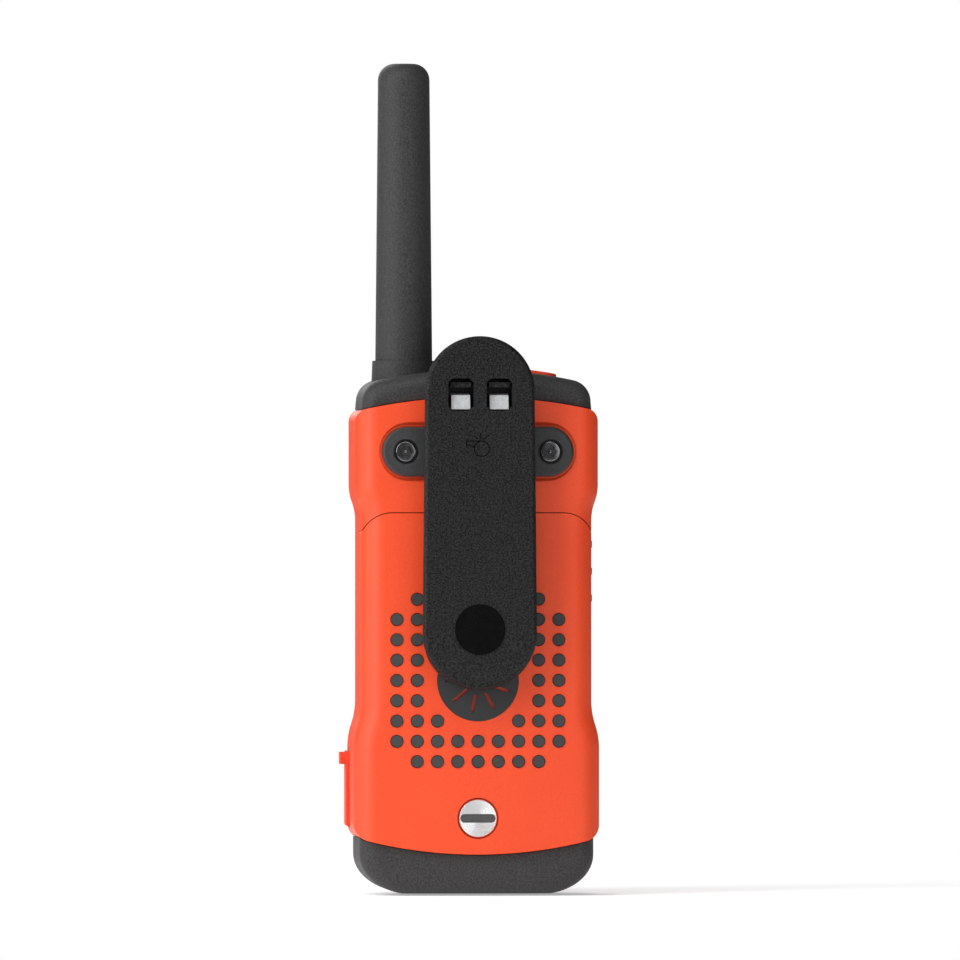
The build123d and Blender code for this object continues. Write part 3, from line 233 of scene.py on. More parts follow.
# the lines of the whistle mark are left polished in the mould, so they shine
markLook = {"colour": "000000", "colourAlt": "020202", "cloudMm": 5, "grainMm": 0.4,
            "grainDepthMm": 0.002, "rough": (0.10, 0.16), "specular": 0.3}
polishedLine = mouldedPlastic("Polished mould line black", markLook)

# dull grey plate that makes the slot read darker than the nickel
slotLook = {"colour": "3A3A3B", "colourAlt": "474748", "cloudMm": 1, "grainMm": 0.3,
            "grainDepthMm": 0.02, "rough": (0.5, 0.62)}
slotPlateGrey = mouldedPlastic("Coin slot plate dark grey", slotLook)

# dark segments on the green-grey panel
segmentLook = {"colour": "151B18", "colourAlt": "1B211E", "cloudMm": 3, "grainMm": 0.5,
               "grainDepthMm": 0.001, "rough": (0.30, 0.40)}
segmentInk = mouldedPlastic("Liquid crystal segment dark", segmentLook)


def workedMetal(name, look):
    # metals keep the default IOR; the finish is in the roughness and the fine lines
    material, tree, shader, place = startMaterial(name)
    shader.inputs["Metallic"].default_value = 1.0
    cloud = addNode(tree, "ShaderNodeTexNoise", {
        "Vector": place, "Scale": 1 / (look["cloudMm"] * mm), "Detail": 4.0})
    colour = twoColours(tree, cloud.outputs["Fac"], look["colour"], look["colourAlt"])
    tree.links.new(colour, shader.inputs["Base Color"])
    rough = spread(tree, cloud.outputs["Fac"], look["rough"][0], look["rough"][1])
    tree.links.new(rough, shader.inputs["Roughness"])
    normal, _ = grainBump(tree, place, look["grainMm"], look["grainDepthMm"])
    if "centre" in look:      # lathe marks run in rings round the axis along Y
        moved = addNode(tree, "ShaderNodeMapping", {
            "Vector": place, "Location": [-c for c in look["centre"]]})
        rings = addNode(tree, "ShaderNodeTexWave", {
            "Vector": moved.outputs[0], "Scale": waveFactor / (look["ringMm"] * mm),
            "Distortion": 0.6, "Detail": 1.0},
            wave_type="RINGS", rings_direction="Y")
        normal = addNode(tree, "ShaderNodeBump", {
            "Height": rings.outputs["Fac"], "Distance": look["ringDepthMm"] * mm,
            "Normal": normal}).outputs["Normal"]
    tree.links.new(normal, shader.inputs["Normal"])
    return material


# bright wire and strip with a soft sheen
steelLook = {"colour": "A6A6A4", "colourAlt": "B2B2B0", "cloudMm": 3, "grainMm": 0.3,
             "grainDepthMm": 0.004, "rough": (0.26, 0.36)}
drawnSteel = workedMetal("Drawn steel", steelLook)

lockLow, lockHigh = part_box("coin_lock")
lockCentre = (lockLow + lockHigh) / 2
# near-white metal with fine lathe rings that spread the highlight
coinLook = {"colour": "F2F2F2", "colourAlt": "F8F8F8", "cloudMm": 6, "grainMm": 0.5,
            "grainDepthMm": 0.002, "rough": (0.20, 0.26), "centre": lockCentre,
            "ringMm": 0.16, "ringDepthMm": 0.008}
turnedNickel = workedMetal("Turned nickel plate", coinLook)

# glossy dark metal whose star catches small glints
screwLook = {"colour": "78787A", "colourAlt": "88888A", "cloudMm": 2, "grainMm": 0.4,
             "grainDepthMm": 0.006, "rough": (0.14, 0.24)}
blackOxide = workedMetal("Black oxide steel", screwLook)

# warm yellow metal
brassLook = {"colour": "C9A55C", "colourAlt": "D2AE66", "cloudMm": 3, "grainMm": 0.3,
             "grainDepthMm": 0.004, "rough": (0.22, 0.32)}
platedBrass = workedMetal("Turned brass", brassLook)

# cool grey metal, a little cloudy
tinLook = {"colour": "9FA2A3", "colourAlt": "AAACAD", "cloudMm": 5, "grainMm": 0.5,
           "grainDepthMm": 0.004, "rough": (0.30, 0.42)}
tinPlate = workedMetal("Pressed tin plate", tinLook)

# dull dark grey, grainy
magnetLook = {"colour": "3A3A3C", "colourAlt": "424244", "cloudMm": 1, "grainMm": 0.2,
              "grainDepthMm": 0.02, "rough": (0.55, 0.65)}
sinteredMagnet = workedMetal("Sintered ferrite", magnetLook)


def displayWindow():
    # clear acrylic, thin and flat
    material, tree, shader, place = startMaterial("Clear acrylic window")
    shader.inputs["Base Color"].default_value = linearColour("F4F7F6")
    shader.inputs["Transmission Weight"].default_value = 1.0
    shader.inputs["IOR"].default_value = 1.49
    haze = addNode(tree, "ShaderNodeTexNoise", {"Vector": place, "Scale": 1 / (4 * mm)})
    tree.links.new(spread(tree, haze.outputs["Fac"], 0.02, 0.05), shader.inputs["Roughness"])
    return material


def displayGlass():
    # reflective liquid crystal panel, greenish grey with a brushed reflector behind
    material, tree, shader, place = startMaterial("Reflective display panel")
    squash = addNode(tree, "ShaderNodeMapping", {"Vector": place, "Scale": (1, 1, 14)})
    streak = addNode(tree, "ShaderNodeTexNoise", {
        "Vector": squash.outputs[0], "Scale": 1 / (3 * mm), "Detail": 3.0})
    tree.links.new(twoColours(tree, streak.outputs["Fac"], "8E9A8A", "97A393"),
                   shader.inputs["Base Color"])
    tree.links.new(spread(tree, streak.outputs["Fac"], 0.25, 0.35),
                   shader.inputs["Roughness"])
    return material


clearWindow = displayWindow()
displayPanel = displayGlass()


def cellSleeve(name, look, endZ, plusUp):
    # printed shrink sleeve over a steel can: bare metal at the ends, a copper coloured band
    material, tree, shader, place = startMaterial(name)
    height = addNode(tree, "ShaderNodeSeparateXYZ", {"Vector": place}).outputs["Z"]

    def above(level):
        return addNode(tree, "ShaderNodeMath", {0: height, 1: level},
                       operation="GREATER_THAN").outputs[0]

    low, high = endZ
    if plusUp:
        band = above(high - look["bandMm"] * mm)
    else:
        band = addNode(tree, "ShaderNodeMath", {0: 1.0, 1: above(low + look["bandMm"] * mm)},
                       operation="SUBTRACT").outputs[0]
    inside = addNode(tree, "ShaderNodeMath", {
        0: above(low + look["bareMm"] * mm), 1: above(high - look["bareMm"] * mm)},
        operation="SUBTRACT").outputs[0]
    printed = addNode(tree, "ShaderNodeMix", {
        "Factor": band, "A": linearColour(look["wrap"]), "B": linearColour(look["band"])},
        data_type="RGBA")
    whole = addNode(tree, "ShaderNodeMix", {
        "Factor": inside, "A": linearColour(look["steel"]), "B": printed.outputs[2]},
        data_type="RGBA")
    metal = addNode(tree, "ShaderNodeMath", {0: 1.0, 1: inside}, operation="SUBTRACT")
    normal, fine = grainBump(tree, place, look["grainMm"], look["grainDepthMm"])
    tree.links.new(whole.outputs[2], shader.inputs["Base Color"])
    tree.links.new(metal.outputs[0], shader.inputs["Metallic"])
    tree.links.new(spread(tree, fine, 0.20, 0.30), shader.inputs["Roughness"])
    tree.links.new(normal, shader.inputs["Normal"])
    return material


sleeveLook = {"wrap": "1B2027", "band": "B8692F", "steel": "B4B4B2", "bandMm": 13.0,
              "bareMm": 1.3, "grainMm": 3.0, "grainDepthMm": 0.004}


def cellEnds(name):
    low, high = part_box(name)
    return low.z, high.z


plusUpCell = cellSleeve("Shrink sleeve PVC plus end up", sleeveLook,
                        cellEnds("battery_cell_left"), True)
plusDownCell = cellSleeve("Shrink sleeve PVC plus end down", sleeveLook,
                          cellEnds("battery_cell_middle"), False)

finishes = {
    orangeShell: ["front_housing", "rear_housing", "battery_door"],
    orangeRubber: ["port_cover", "top_button"],
    softTouch: ["top_cap", "front_boot", "door_toe", "antenna_sleeve", "ptt_button"],
    studRubber: ["grip_mat"],
    medallionShadedPlastic: ["door_medallion"],
    darkPlastic: ["fascia", "clip_bracket", "chassis", "ptt_switch", "top_switch"],
    clipNylonPaintedPits: ["belt_clip"],
    glossBlack: ["clip_disc"],
    rampPlastic: ["whistle_ramps"],
    keyRubber: ["key_menu", "key_up", "key_down", "key_call", "key_lock", "case_gasket",
                "cell_pad"],
    blackFelt: ["speaker_felt", "speaker_cone"],
    plusUpCell: ["battery_cell_left", "battery_cell_right"],
    plusDownCell: ["battery_cell_middle"],
    solderMask: ["main_board"],
    drawnSteel: ["clip_pin", "clip_spring", "contact_springs", "contact_plates",
                 "lock_cam", "charging_socket", "antenna_whip", "key_domes"],
    turnedNickel: ["coin_lock"],
    blackOxide: ["bracket_screws", "case_screws"],
    platedBrass: ["antenna_ferrule", "antenna_contact"],
    tinPlate: ["shield_can", "speaker_frame", "microphone"],
    sinteredMagnet: ["speaker_magnet"],
    clearWindow: ["lcd_window"],
    displayPanel: ["lcd_module"],
}
for material, names in finishes.items():
    for name in names:
        nodes[name].data.materials.clear()
        nodes[name].data.materials.append(material)
print("materials done,", len(finishes))


hair = 0.01 * mm         # how close to a face counts as on it


def deselectAll():
    if bpy.context.mode != "OBJECT":
        bpy.ops.object.mode_set(mode="OBJECT")
    bpy.ops.object.select_all(action="DESELECT")


def placeInMesh():
    bpy.ops.object.transform_apply(location=True, rotation=True, scale=True)
    return bpy.context.object


def pick(piece, kind, test):
    # selects the vertices, edges or faces whose place and normal pass the test
    bpy.ops.mesh.select_mode(type=kind)
    bpy.ops.mesh.select_all(action="DESELECT")
    mesh = bmesh.from_edit_mesh(piece.data)
    if kind == "VERT":
        chosen = [v for v in mesh.verts if test(v.co, v.normal)]
    elif kind == "EDGE":
        chosen = [e for e in mesh.edges if test(*(v.co for v in e.verts))]
    else:
        chosen = [f for f in mesh.faces if test(f.calc_center_median(), f.normal)]
    for item in chosen:
        item.select_set(True)
    mesh.select_flush_mode()
    bmesh.update_edit_mesh(piece.data)
    return len(chosen)


def extrudeBy(x, y, z):
    bpy.ops.mesh.extrude_region_move(TRANSFORM_OT_translate={"value": (x, y, z)})


def finishPiece(piece, name, material, body, smooth=35):
    deselectAll()
    piece.select_set(True)
    bpy.context.view_layer.objects.active = piece
    for modifier in list(piece.modifiers):
        bpy.ops.object.modifier_apply(modifier=modifier.name)
    placeInMesh()
    bpy.ops.object.shade_smooth_by_angle(angle=radians(smooth))
    piece.name = piece.data.name = name
    piece.data.materials.clear()
    piece.data.materials.append(material)
    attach(piece, body)
    return piece


def joinAll(parts):
    deselectAll()
    for part in parts:
        part.select_set(True)
    bpy.context.view_layer.objects.active = parts[0]
    bpy.ops.object.join()
    return bpy.context.object


# star screws in the clip's bracket
starScrew = {"headMm": 2.35, "starMm": 1.38, "valley": (1.0, 0.97, 0.86, 0.76, 0.72),
             "depthMm": 0.62, "pinMm": 0.36, "shankMm": 1.2, "headHeightMm": 0.9,
             "rimMm": 0.28, "facets": 48, "lobeFacets": 8, "tipMm": 0.3,
             "pinFacets": 24, "pinSunk": 0.65, "pinRound": 0.5}


def addStarScrew(side):
    low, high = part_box("bracket_screws")
    headR = starScrew["headMm"] * mm
    tall = starScrew["headHeightMm"] * mm
    x = side * (high.x - headR)
    z = (low.z + high.z) / 2
    top = high.y
    facets, lobe = starScrew["facets"], starScrew["lobeFacets"]

    def fromAxis(place):
        return Vector((place.x - x, place.z - z)).length

    deselectAll()
    bpy.ops.mesh.primitive_cylinder_add(vertices=facets, radius=headR, depth=tall,
                                        location=(x, top - tall / 2, z),
                                        rotation=(radians(90), 0, 0))
    screw = placeInMesh()
    bpy.ops.object.mode_set(mode="EDIT")
    pick(screw, "FACE", lambda c, n: n.y > 0.9)
    bpy.ops.mesh.inset(thickness=headR - starScrew["starMm"] * mm, depth=0)
    for step, share in enumerate(starScrew["valley"]):
        def onLobe(co, normal):
            if co.y < top - hair or fromAxis(co) > headR * 0.8:
                return False
            place = round(atan2(co.z - z, co.x - x) / (2 * pi) * facets) % lobe
            return min(place, lobe - place) == step
        pick(screw, "VERT", onLobe)
        bpy.ops.transform.resize(value=(share, 1, share), center_override=(x, top, z))
    pick(screw, "FACE", lambda c, n: n.y > 0.9 and fromAxis(c) < headR / 9)
    extrudeBy(0, -starScrew["depthMm"] * mm, 0)
    rim = starScrew["rimMm"] * mm
    pick(screw, "EDGE", lambda a, b: min(a.y, b.y) > top - hair
         and min(fromAxis(a), fromAxis(b)) > headR * 0.9)
    bpy.ops.mesh.bevel(offset=rim, segments=4, affect="EDGES")
    pick(screw, "FACE", lambda c, n: n.y < -0.9 and c.y < top - tall * 0.9)
    bpy.ops.mesh.inset(thickness=headR - starScrew["shankMm"] * mm, depth=0)
    extrudeBy(0, low.y - (top - tall), 0)
    bpy.ops.mesh.bevel(offset=starScrew["tipMm"] * mm, segments=2, affect="EDGES")
    bpy.ops.object.mode_set(mode="OBJECT")
    pin = starScrew["pinMm"] * mm
    tallPin = starScrew["depthMm"] * mm
    bpy.ops.mesh.primitive_cylinder_add(vertices=starScrew["pinFacets"], radius=pin,
                                        depth=tallPin, rotation=(radians(90), 0, 0),
                                        location=(x, top - tallPin * starScrew["pinSunk"], z))
    peg = placeInMesh()
    bpy.ops.object.mode_set(mode="EDIT")
    pick(peg, "FACE", lambda c, n: n.y > 0.9)
    bpy.ops.mesh.bevel(offset=pin * starScrew["pinRound"], segments=3, affect="EDGES")
    bpy.ops.object.mode_set(mode="OBJECT")
    return joinAll([screw, peg])


for side, name in ((1, "BracketScrewLeft"), (-1, "BracketScrewRight")):
    piece = finishPiece(addStarScrew(side), name, blackOxide, "radio")
    if side == 1:
        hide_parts("bracket_screws")
print("star screws done")


coilFacets = {"wire": 10, "turn": 24, "weldMm": 0.001}


def addCoil(centre, coilR, wireR, pitch, turns, turnTo, taper=0.0):
    # round wire wound along +Z by a Screw modifier, then turned to its axis
    deselectAll()
    bpy.ops.mesh.primitive_circle_add(vertices=coilFacets["wire"], radius=wireR,
                                      fill_type="NOTHING", location=(coilR, 0, 0),
                                      rotation=(radians(90), 0, 0))
    wire = placeInMesh()
    wind = wire.modifiers.new("Wind", "SCREW")
    wind.axis = "Z"
    wind.angle = 2 * pi
    wind.screw_offset = pitch
    wind.iterations = turns
    wind.steps = wind.render_steps = coilFacets["turn"]
    bpy.ops.object.modifier_apply(modifier=wind.name)
    if taper:
        lean = wire.modifiers.new("Lean", "SIMPLE_DEFORM")
        lean.deform_method = "TAPER"
        lean.deform_axis = "Z"
        lean.factor = taper
        bpy.ops.object.modifier_apply(modifier=lean.name)
    bpy.ops.object.mode_set(mode="EDIT")
    bpy.ops.mesh.select_all(action="SELECT")
    bpy.ops.mesh.remove_doubles(threshold=coilFacets["weldMm"] * mm)
    bpy.ops.mesh.fill_holes(sides=0)
    bpy.ops.mesh.select_all(action="SELECT")
    bpy.ops.mesh.normals_make_consistent(inside=False)
    bpy.ops.object.mode_set(mode="OBJECT")
    wire.rotation_euler = turnTo
    wire.location = centre
    placeInMesh()
    return wire


# torsion spring round the clip's pin
clipCoil = {"wireMm": 0.24, "turns": 9, "legMm": 1.9}


def addClipSpring():
    low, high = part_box("clip_spring")
    wire = clipCoil["wireMm"] * mm
    radius = (high.z - low.z) / 2 - wire
    length = high.x - low.x - 2 * wire
    middle = (low + high) / 2
    coil = addCoil((low.x + wire, middle.y, middle.z), radius, wire,
                   length / clipCoil["turns"], clipCoil["turns"], (0, radians(90), 0))
    bpy.ops.object.mode_set(mode="EDIT")
    for face, way in ((low.x, -1), (high.x, 1)):
        pick(coil, "FACE", lambda c, n: abs(n.y) > 0.8 and abs(c.x - face) < 1.5 * wire
             and abs(c.y - middle.y) < 5 * hair)
        extrudeBy(0, way * clipCoil["legMm"] * mm, 0)
    bpy.ops.object.mode_set(mode="OBJECT")
    return coil


piece = finishPiece(addClipSpring(), "ClipTorsionSpring", drawnSteel, "radio")
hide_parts("clip_spring")

batteryCoil = {"wireMm": 0.35, "baseMm": 3.3, "turns": 3, "taper": -0.35}


def addBatterySprings():
    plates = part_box("contact_springs")
    coils = []
    for name, up in (("battery_cell_left", True), ("battery_cell_middle", False),
                     ("battery_cell_right", True)):
        low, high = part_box(name)
        wire = batteryCoil["wireMm"] * mm
        tall = low.z - plates[0].z if up else plates[1].z - high.z
        start = plates[0].z + wire if up else plates[1].z - wire
        centre = ((low.x + high.x) / 2, (low.y + high.y) / 2, start)
        pitch = (tall - 2 * wire) / batteryCoil["turns"]
        coils.append(addCoil(centre, batteryCoil["baseMm"] * mm, wire, pitch,
                             batteryCoil["turns"], (0 if up else pi, 0, 0),
                             batteryCoil["taper"]))
    return joinAll(coils)


piece = finishPiece(addBatterySprings(), "BatterySprings", drawnSteel, "radio")
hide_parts("contact_springs")
print("springs done")


strokeRound = 0.45       # share of a stroke's width taken by its end rounding


def addStroke(start, end, width, y, thick):
    # a flat bar with round ends between two places on a front or back face
    run = Vector((end[0] - start[0], 0, end[1] - start[1]))
    middle = ((start[0] + end[0]) / 2, y, (start[1] + end[1]) / 2)
    deselectAll()
    bpy.ops.mesh.primitive_cube_add(size=1, location=middle,
                                    rotation=(0, -atan2(run.z, run.x), 0),
                                    scale=(run.length + width, thick, width))
    bar = placeInMesh()
    bpy.ops.object.mode_set(mode="EDIT")
    pick(bar, "EDGE", lambda a, b: abs(a.y - b.y) > thick / 2)
    bpy.ops.mesh.bevel(offset=width * strokeRound, segments=3, affect="EDGES")
    bpy.ops.object.mode_set(mode="OBJECT")
    return bar


def addRing(centre, radius, width, y, thick):
    deselectAll()
    bpy.ops.mesh.primitive_circle_add(vertices=48, radius=radius + width / 2,
                                      fill_type="NGON", location=(centre[0], y, centre[1]),
                                      rotation=(radians(-90), 0, 0))
    ring = placeInMesh()
    bpy.ops.object.mode_set(mode="EDIT")
    bpy.ops.mesh.select_all(action="SELECT")
    bpy.ops.mesh.inset(thickness=width, depth=0)
    bpy.ops.mesh.delete(type="FACE")
    bpy.ops.object.mode_set(mode="OBJECT")
    wall = ring.modifiers.new("Wall", "SOLIDIFY")
    wall.thickness = thick
    wall.offset = 0
    bpy.ops.object.modifier_apply(modifier=wall.name)
    return ring


# plain pea whistle drawn in polished lines on the clip
whistleMark = {"centreMm": (-0.35, 102.15), "ringMm": 1.75, "lineMm": 0.20, "thickMm": 0.06,
               "strokes": (((-0.35, 103.9), (3.15, 103.9)), ((3.15, 103.9), (3.15, 102.95)),
                           ((3.15, 102.95), (2.3, 102.95)), ((2.3, 102.95), (1.35, 102.3)),
                           ((-0.2, 104.4), (0.0, 105.6)), ((-0.9, 104.3), (-1.9, 105.2)),
                           ((0.55, 104.4), (1.5, 105.1)))}


def addWhistleMark():
    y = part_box("belt_clip")[1].y
    radius, line, thick = (whistleMark[key] * mm for key in ("ringMm", "lineMm", "thickMm"))
    x, z = whistleMark["centreMm"]
    parts = [addRing((x * mm, z * mm), radius, line, y, thick)]
    for start, end in whistleMark["strokes"]:
        parts.append(addStroke([c * mm for c in start], [c * mm for c in end],
                               line, y, thick))
    return joinAll(parts)


finishPiece(addWhistleMark(), "WhistleMark", polishedLine, "belt_clip")
print("whistle mark done")

# generic icons, pad printed on the key tops: strokes in millimetres about each key's centre
keyIcons = {
    "key_menu": (((-1.5, 1.0), (1.5, 1.0)), ((-1.5, 0), (1.5, 0)), ((-1.5, -1.0), (1.5, -1.0))),
    "key_up": (((-1.3, -0.6), (0, 0.7)), ((0, 0.7), (1.3, -0.6))),
    "key_down": (((-1.3, 0.6), (0, -0.7)), ((0, -0.7), (1.3, 0.6))),
    "key_call": (((-1.6, 0.5), (-1.6, -0.5)), ((-1.6, 0.5), (-0.6, 0.5)),
                 ((-1.6, -0.5), (-0.6, -0.5)), ((-0.6, 0.5), (0.4, 1.4)),
                 ((-0.6, -0.5), (0.4, -1.4)), ((0.4, 1.4), (0.4, -1.4)),
                 ((1.2, 0.6), (1.2, -0.6)), ((1.9, 1.1), (1.9, -1.1))),
    "key_lock": (((-1.1, 0.2), (1.1, 0.2)), ((-1.1, -1.5), (1.1, -1.5)),
                 ((-1.1, 0.2), (-1.1, -1.5)), ((1.1, 0.2), (1.1, -1.5)),
                 ((-0.7, 0.2), (-0.7, 1.1)), ((0.7, 0.2), (0.7, 1.1)),
                 ((-0.7, 1.1), (0.7, 1.1))),
}
iconPrint = {"lineMm": 0.32, "thickMm": 0.10, "crownRadiusMm": 351}


def addIcon(name, strokes):
    low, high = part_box(name)
    x, z = (low.x + high.x) / 2, (low.z + high.z) / 2
    inner = min(abs(low.x), abs(high.x)) if low.x * high.x > 0 else 0
    bulge = 2 * iconPrint["crownRadiusMm"] * mm  # the key tops follow the crowned front
    parts = []
    for a, b in strokes:
        middle = x + (a[0] + b[0]) / 2 * mm
        parts.append(addStroke((x + a[0] * mm, z + a[1] * mm), (x + b[0] * mm, z + b[1] * mm),
                               iconPrint["lineMm"] * mm,
                               low.y + (middle ** 2 - inner ** 2) / bulge,
                               iconPrint["thickMm"] * mm))
    return joinAll(parts)


for name, strokes in keyIcons.items():
    title = "Icon" + name.split("_")[1].capitalize()
    finishPiece(addIcon(name, strokes), title, whiteInk, name)
print("key icons done")

# segments of the display: a channel number, a battery gauge and signal bars
display = {"digitMm": (4.6, 8.6), "lineMm": 1.0, "thickMm": 0.06, "gapMm": 0.5,
           "digits": {-3.2: "abged", 4.4: "afgcd"}, "digitDropMm": 1.6, "behindMm": 0.46,
           "gauge": (9.9, 4.6), "gaugeFrame": ((-2, 0.9), (1.6, 0.9), (1.6, -0.9),
                                               (-2, -0.9), (-2, 0.9)),
           "gaugeCells": (-1.2, -0.2, 0.8), "gaugeCellMm": 0.7, "gaugeTipMm": 2.1,
           "gaugeHalfMm": 0.3, "thinMm": 0.3,
           "bars": (-12.0, 4.2), "barStepMm": 1.1, "barRiseMm": 0.45, "barWideMm": 0.6,
           "barFootMm": 0.9, "barCount": 4}


def digitStrokes(centreX, lit):
    wide, tall = display["digitMm"]
    w, h = wide / 2 - display["gapMm"] / 2, tall / 2
    gap = display["gapMm"] + display["lineMm"] / 2
    ends = {"a": ((-w + gap, h), (w - gap, h)), "g": ((-w + gap, 0), (w - gap, 0)),
            "d": ((-w + gap, -h), (w - gap, -h)), "b": ((w, h - gap), (w, gap)),
            "c": ((w, -gap), (w, gap - h)), "f": ((-w, h - gap), (-w, gap)),
            "e": ((-w, -gap), (-w, gap - h))}
    drop = display["digitDropMm"]
    return [tuple((x + centreX, z - drop) for x, z in ends[key]) for key in lit]


def addSegments():
    low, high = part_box("lcd_window")
    x0, z0 = (low.x + high.x) / 2, (low.z + high.z) / 2
    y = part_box("lcd_module")[0].y + display["behindMm"] * mm
    lines = []
    for centreX, lit in display["digits"].items():
        lines += [(a, b, display["lineMm"]) for a, b in digitStrokes(centreX, lit)]
    x, z = display["gauge"]
    frame, half, thin = display["gaugeFrame"], display["gaugeHalfMm"], display["thinMm"]
    lines += [((x + a[0], z + a[1]), (x + b[0], z + b[1]), thin)
              for a, b in zip(frame, frame[1:])]
    lines += [((x + step, z - half), (x + step, z + half), display["gaugeCellMm"])
              for step in display["gaugeCells"]]
    tip = display["gaugeTipMm"]
    lines.append(((x + tip, z - half), (x + tip, z + half), thin))
    x, z = display["bars"]
    wide, foot = display["barWideMm"], display["barFootMm"]
    lines += [((x + step * display["barStepMm"], z - foot),
               (x + step * display["barStepMm"], z - wide + step * display["barRiseMm"]),
               wide) for step in range(display["barCount"])]
    return joinAll([
        addStroke((x0 + a[0] * mm, z0 + a[1] * mm), (x0 + b[0] * mm, z0 + b[1] * mm),
                  width * mm, y, display["thickMm"] * mm)
        for a, b, width in lines])


finishPiece(addSegments(), "DisplaySegments", segmentInk, "radio")
print("display done")

# woven dust cloth behind the grille
grilleCloth = {"radiusMm": 13.6, "thickMm": 0.16, "domeMm": 0.12, "threadMm": 0.55,
               "threadDepthMm": 0.12, "gap": "080808", "thread": "262626", "facets": 64,
               "rings": 3, "ringShare": 0.25, "placeMm": 0.25}


def wovenCloth(name, look):
    # plain weave, threads drawn at half a millimetre so that they show
    material, tree, shader, place = startMaterial(name)
    scale = waveFactor / (look["threadMm"] * mm)
    warp = addNode(tree, "ShaderNodeTexWave", {"Vector": place, "Scale": scale},
                   bands_direction="X")
    weft = addNode(tree, "ShaderNodeTexWave", {"Vector": place, "Scale": scale},
                   bands_direction="Z")
    weave = addNode(tree, "ShaderNodeMath", {
        0: warp.outputs["Fac"], 1: weft.outputs["Fac"]}, operation="MULTIPLY").outputs[0]
    tree.links.new(twoColours(tree, weave, look["gap"], look["thread"], 0.4),
                   shader.inputs["Base Color"])
    bump = addNode(tree, "ShaderNodeBump", {
        "Height": weave, "Distance": look["threadDepthMm"] * mm})
    tree.links.new(bump.outputs["Normal"], shader.inputs["Normal"])
    shader.inputs["Roughness"].default_value = 0.85
    shader.inputs["Sheen Weight"].default_value = 0.15
    return material


def addGrilleCloth():
    low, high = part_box("speaker_felt")
    radius = grilleCloth["radiusMm"] * mm
    thick = grilleCloth["thickMm"] * mm
    x, z = (low.x + high.x) / 2, (low.z + high.z) / 2
    deselectAll()
    bpy.ops.mesh.primitive_circle_add(vertices=grilleCloth["facets"], radius=radius,
                                      fill_type="NGON",
                                      location=(x, low.y + grilleCloth["placeMm"] * mm, z),
                                      rotation=(radians(90), 0, 0))
    cloth = placeInMesh()
    bpy.ops.object.mode_set(mode="EDIT")
    bpy.ops.mesh.select_all(action="SELECT")
    for step in range(grilleCloth["rings"]):  # rings that dome it slightly towards the cone
        bpy.ops.mesh.inset(thickness=radius * grilleCloth["ringShare"], depth=0)
        bpy.ops.transform.translate(value=(0, grilleCloth["domeMm"] * mm / (step + 1), 0))
    bpy.ops.object.mode_set(mode="OBJECT")
    wall = cloth.modifiers.new("Wall", "SOLIDIFY")
    wall.thickness = thick
    wall.offset = 0
    return cloth


finishPiece(addGrilleCloth(), "GrilleCloth", wovenCloth("Woven nylon cloth black", grilleCloth),
            "radio")
print("grille cloth done")

# lips inside the case that close the view through its seams: each column is x, low, top
headArch = {"crownMm": 114.9, "spanMm": 243.6}     # the top of the lip follows the seam
headLip = {"placeMm": 8.9, "thickMm": 0.9, "edgeMm": 0.1,
           "columns": [(x, 106.0, headArch["crownMm"] - x ** 2 / headArch["spanMm"])
                       for x in (0, 5, 10, 15, 20, 24, 26.3)]}
footLip = {"placeMm": 2.1, "thickMm": 2.4, "edgeMm": 0.1,
           "columns": [(0, 1.85, 4.6), (14.5, 1.85, 4.6), (17.5, 2.2, 5.0), (20.0, 3.0, 6.4),
                       (20.8, 3.3, 24.4), (23.0, 4.8, 24.4), (24.8, 7.9, 24.4),
                       (25.0, 11.5, 24.4), (26.2, 11.9, 24.4)]}


def addLip(look):
    half = look["columns"][::-1] + look["columns"][1:]
    turn = len(look["columns"]) - 1
    columns = [(-x if at < turn else x, low, top) for at, (x, low, top) in enumerate(half)]
    aside = 10                # columns already placed wait here, clear of the next pick
    near = 1e-4
    deselectAll()
    bpy.ops.mesh.primitive_cube_add(size=1, location=(0, look["placeMm"] * mm, 0),
                                    scale=(1, look["thickMm"] * mm, 1))
    lip = placeInMesh()
    bpy.ops.object.mode_set(mode="EDIT")
    pick(lip, "EDGE", lambda a, b: abs(a.x - b.x) > 0.9)
    bpy.ops.mesh.subdivide(number_cuts=len(columns) - 2)
    for at, (x, low, top) in reversed(list(enumerate(columns))):
        spot = at / (len(columns) - 1) - 0.5
        for end, height in ((-0.5, low), (0.5, top)):
            pick(lip, "VERT", lambda co, n: abs(co.x - spot) < near
                 and abs(co.z - end) < near)
            bpy.ops.transform.translate(value=(aside + x * mm - spot, 0, height * mm - end))
    bpy.ops.mesh.select_all(action="SELECT")
    bpy.ops.transform.translate(value=(-aside, 0, 0))
    bpy.ops.object.mode_set(mode="OBJECT")
    edge = lip.modifiers.new("Edge", "BEVEL")
    edge.width = look["edgeMm"] * mm
    edge.segments = 2
    return lip


for name, look in (("HeadLip", headLip), ("FootLip", footLip)):
    finishPiece(addLip(look), name, darkPlastic, "radio")
print("lips done")

# dark grey plate set in the coin slot
slotFill = {"lengthMm": 8.1, "widthMm": 2.0, "downMm": 0.35, "thickMm": 0.3, "playMm": 0.04}


def addSlotFill():
    low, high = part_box("coin_lock")
    x, z = (low.x + high.x) / 2, (low.z + high.z) / 2
    length = (slotFill["lengthMm"] - slotFill["widthMm"]) / 2 * mm
    width = (slotFill["widthMm"] - slotFill["playMm"]) * mm
    return addStroke((x - length, z), (x + length, z), width,
                     high.y - slotFill["downMm"] * mm, slotFill["thickMm"] * mm)


finishPiece(addSlotFill(), "CoinSlotFill", slotPlateGrey, "coin_lock")
print("coin slot done")


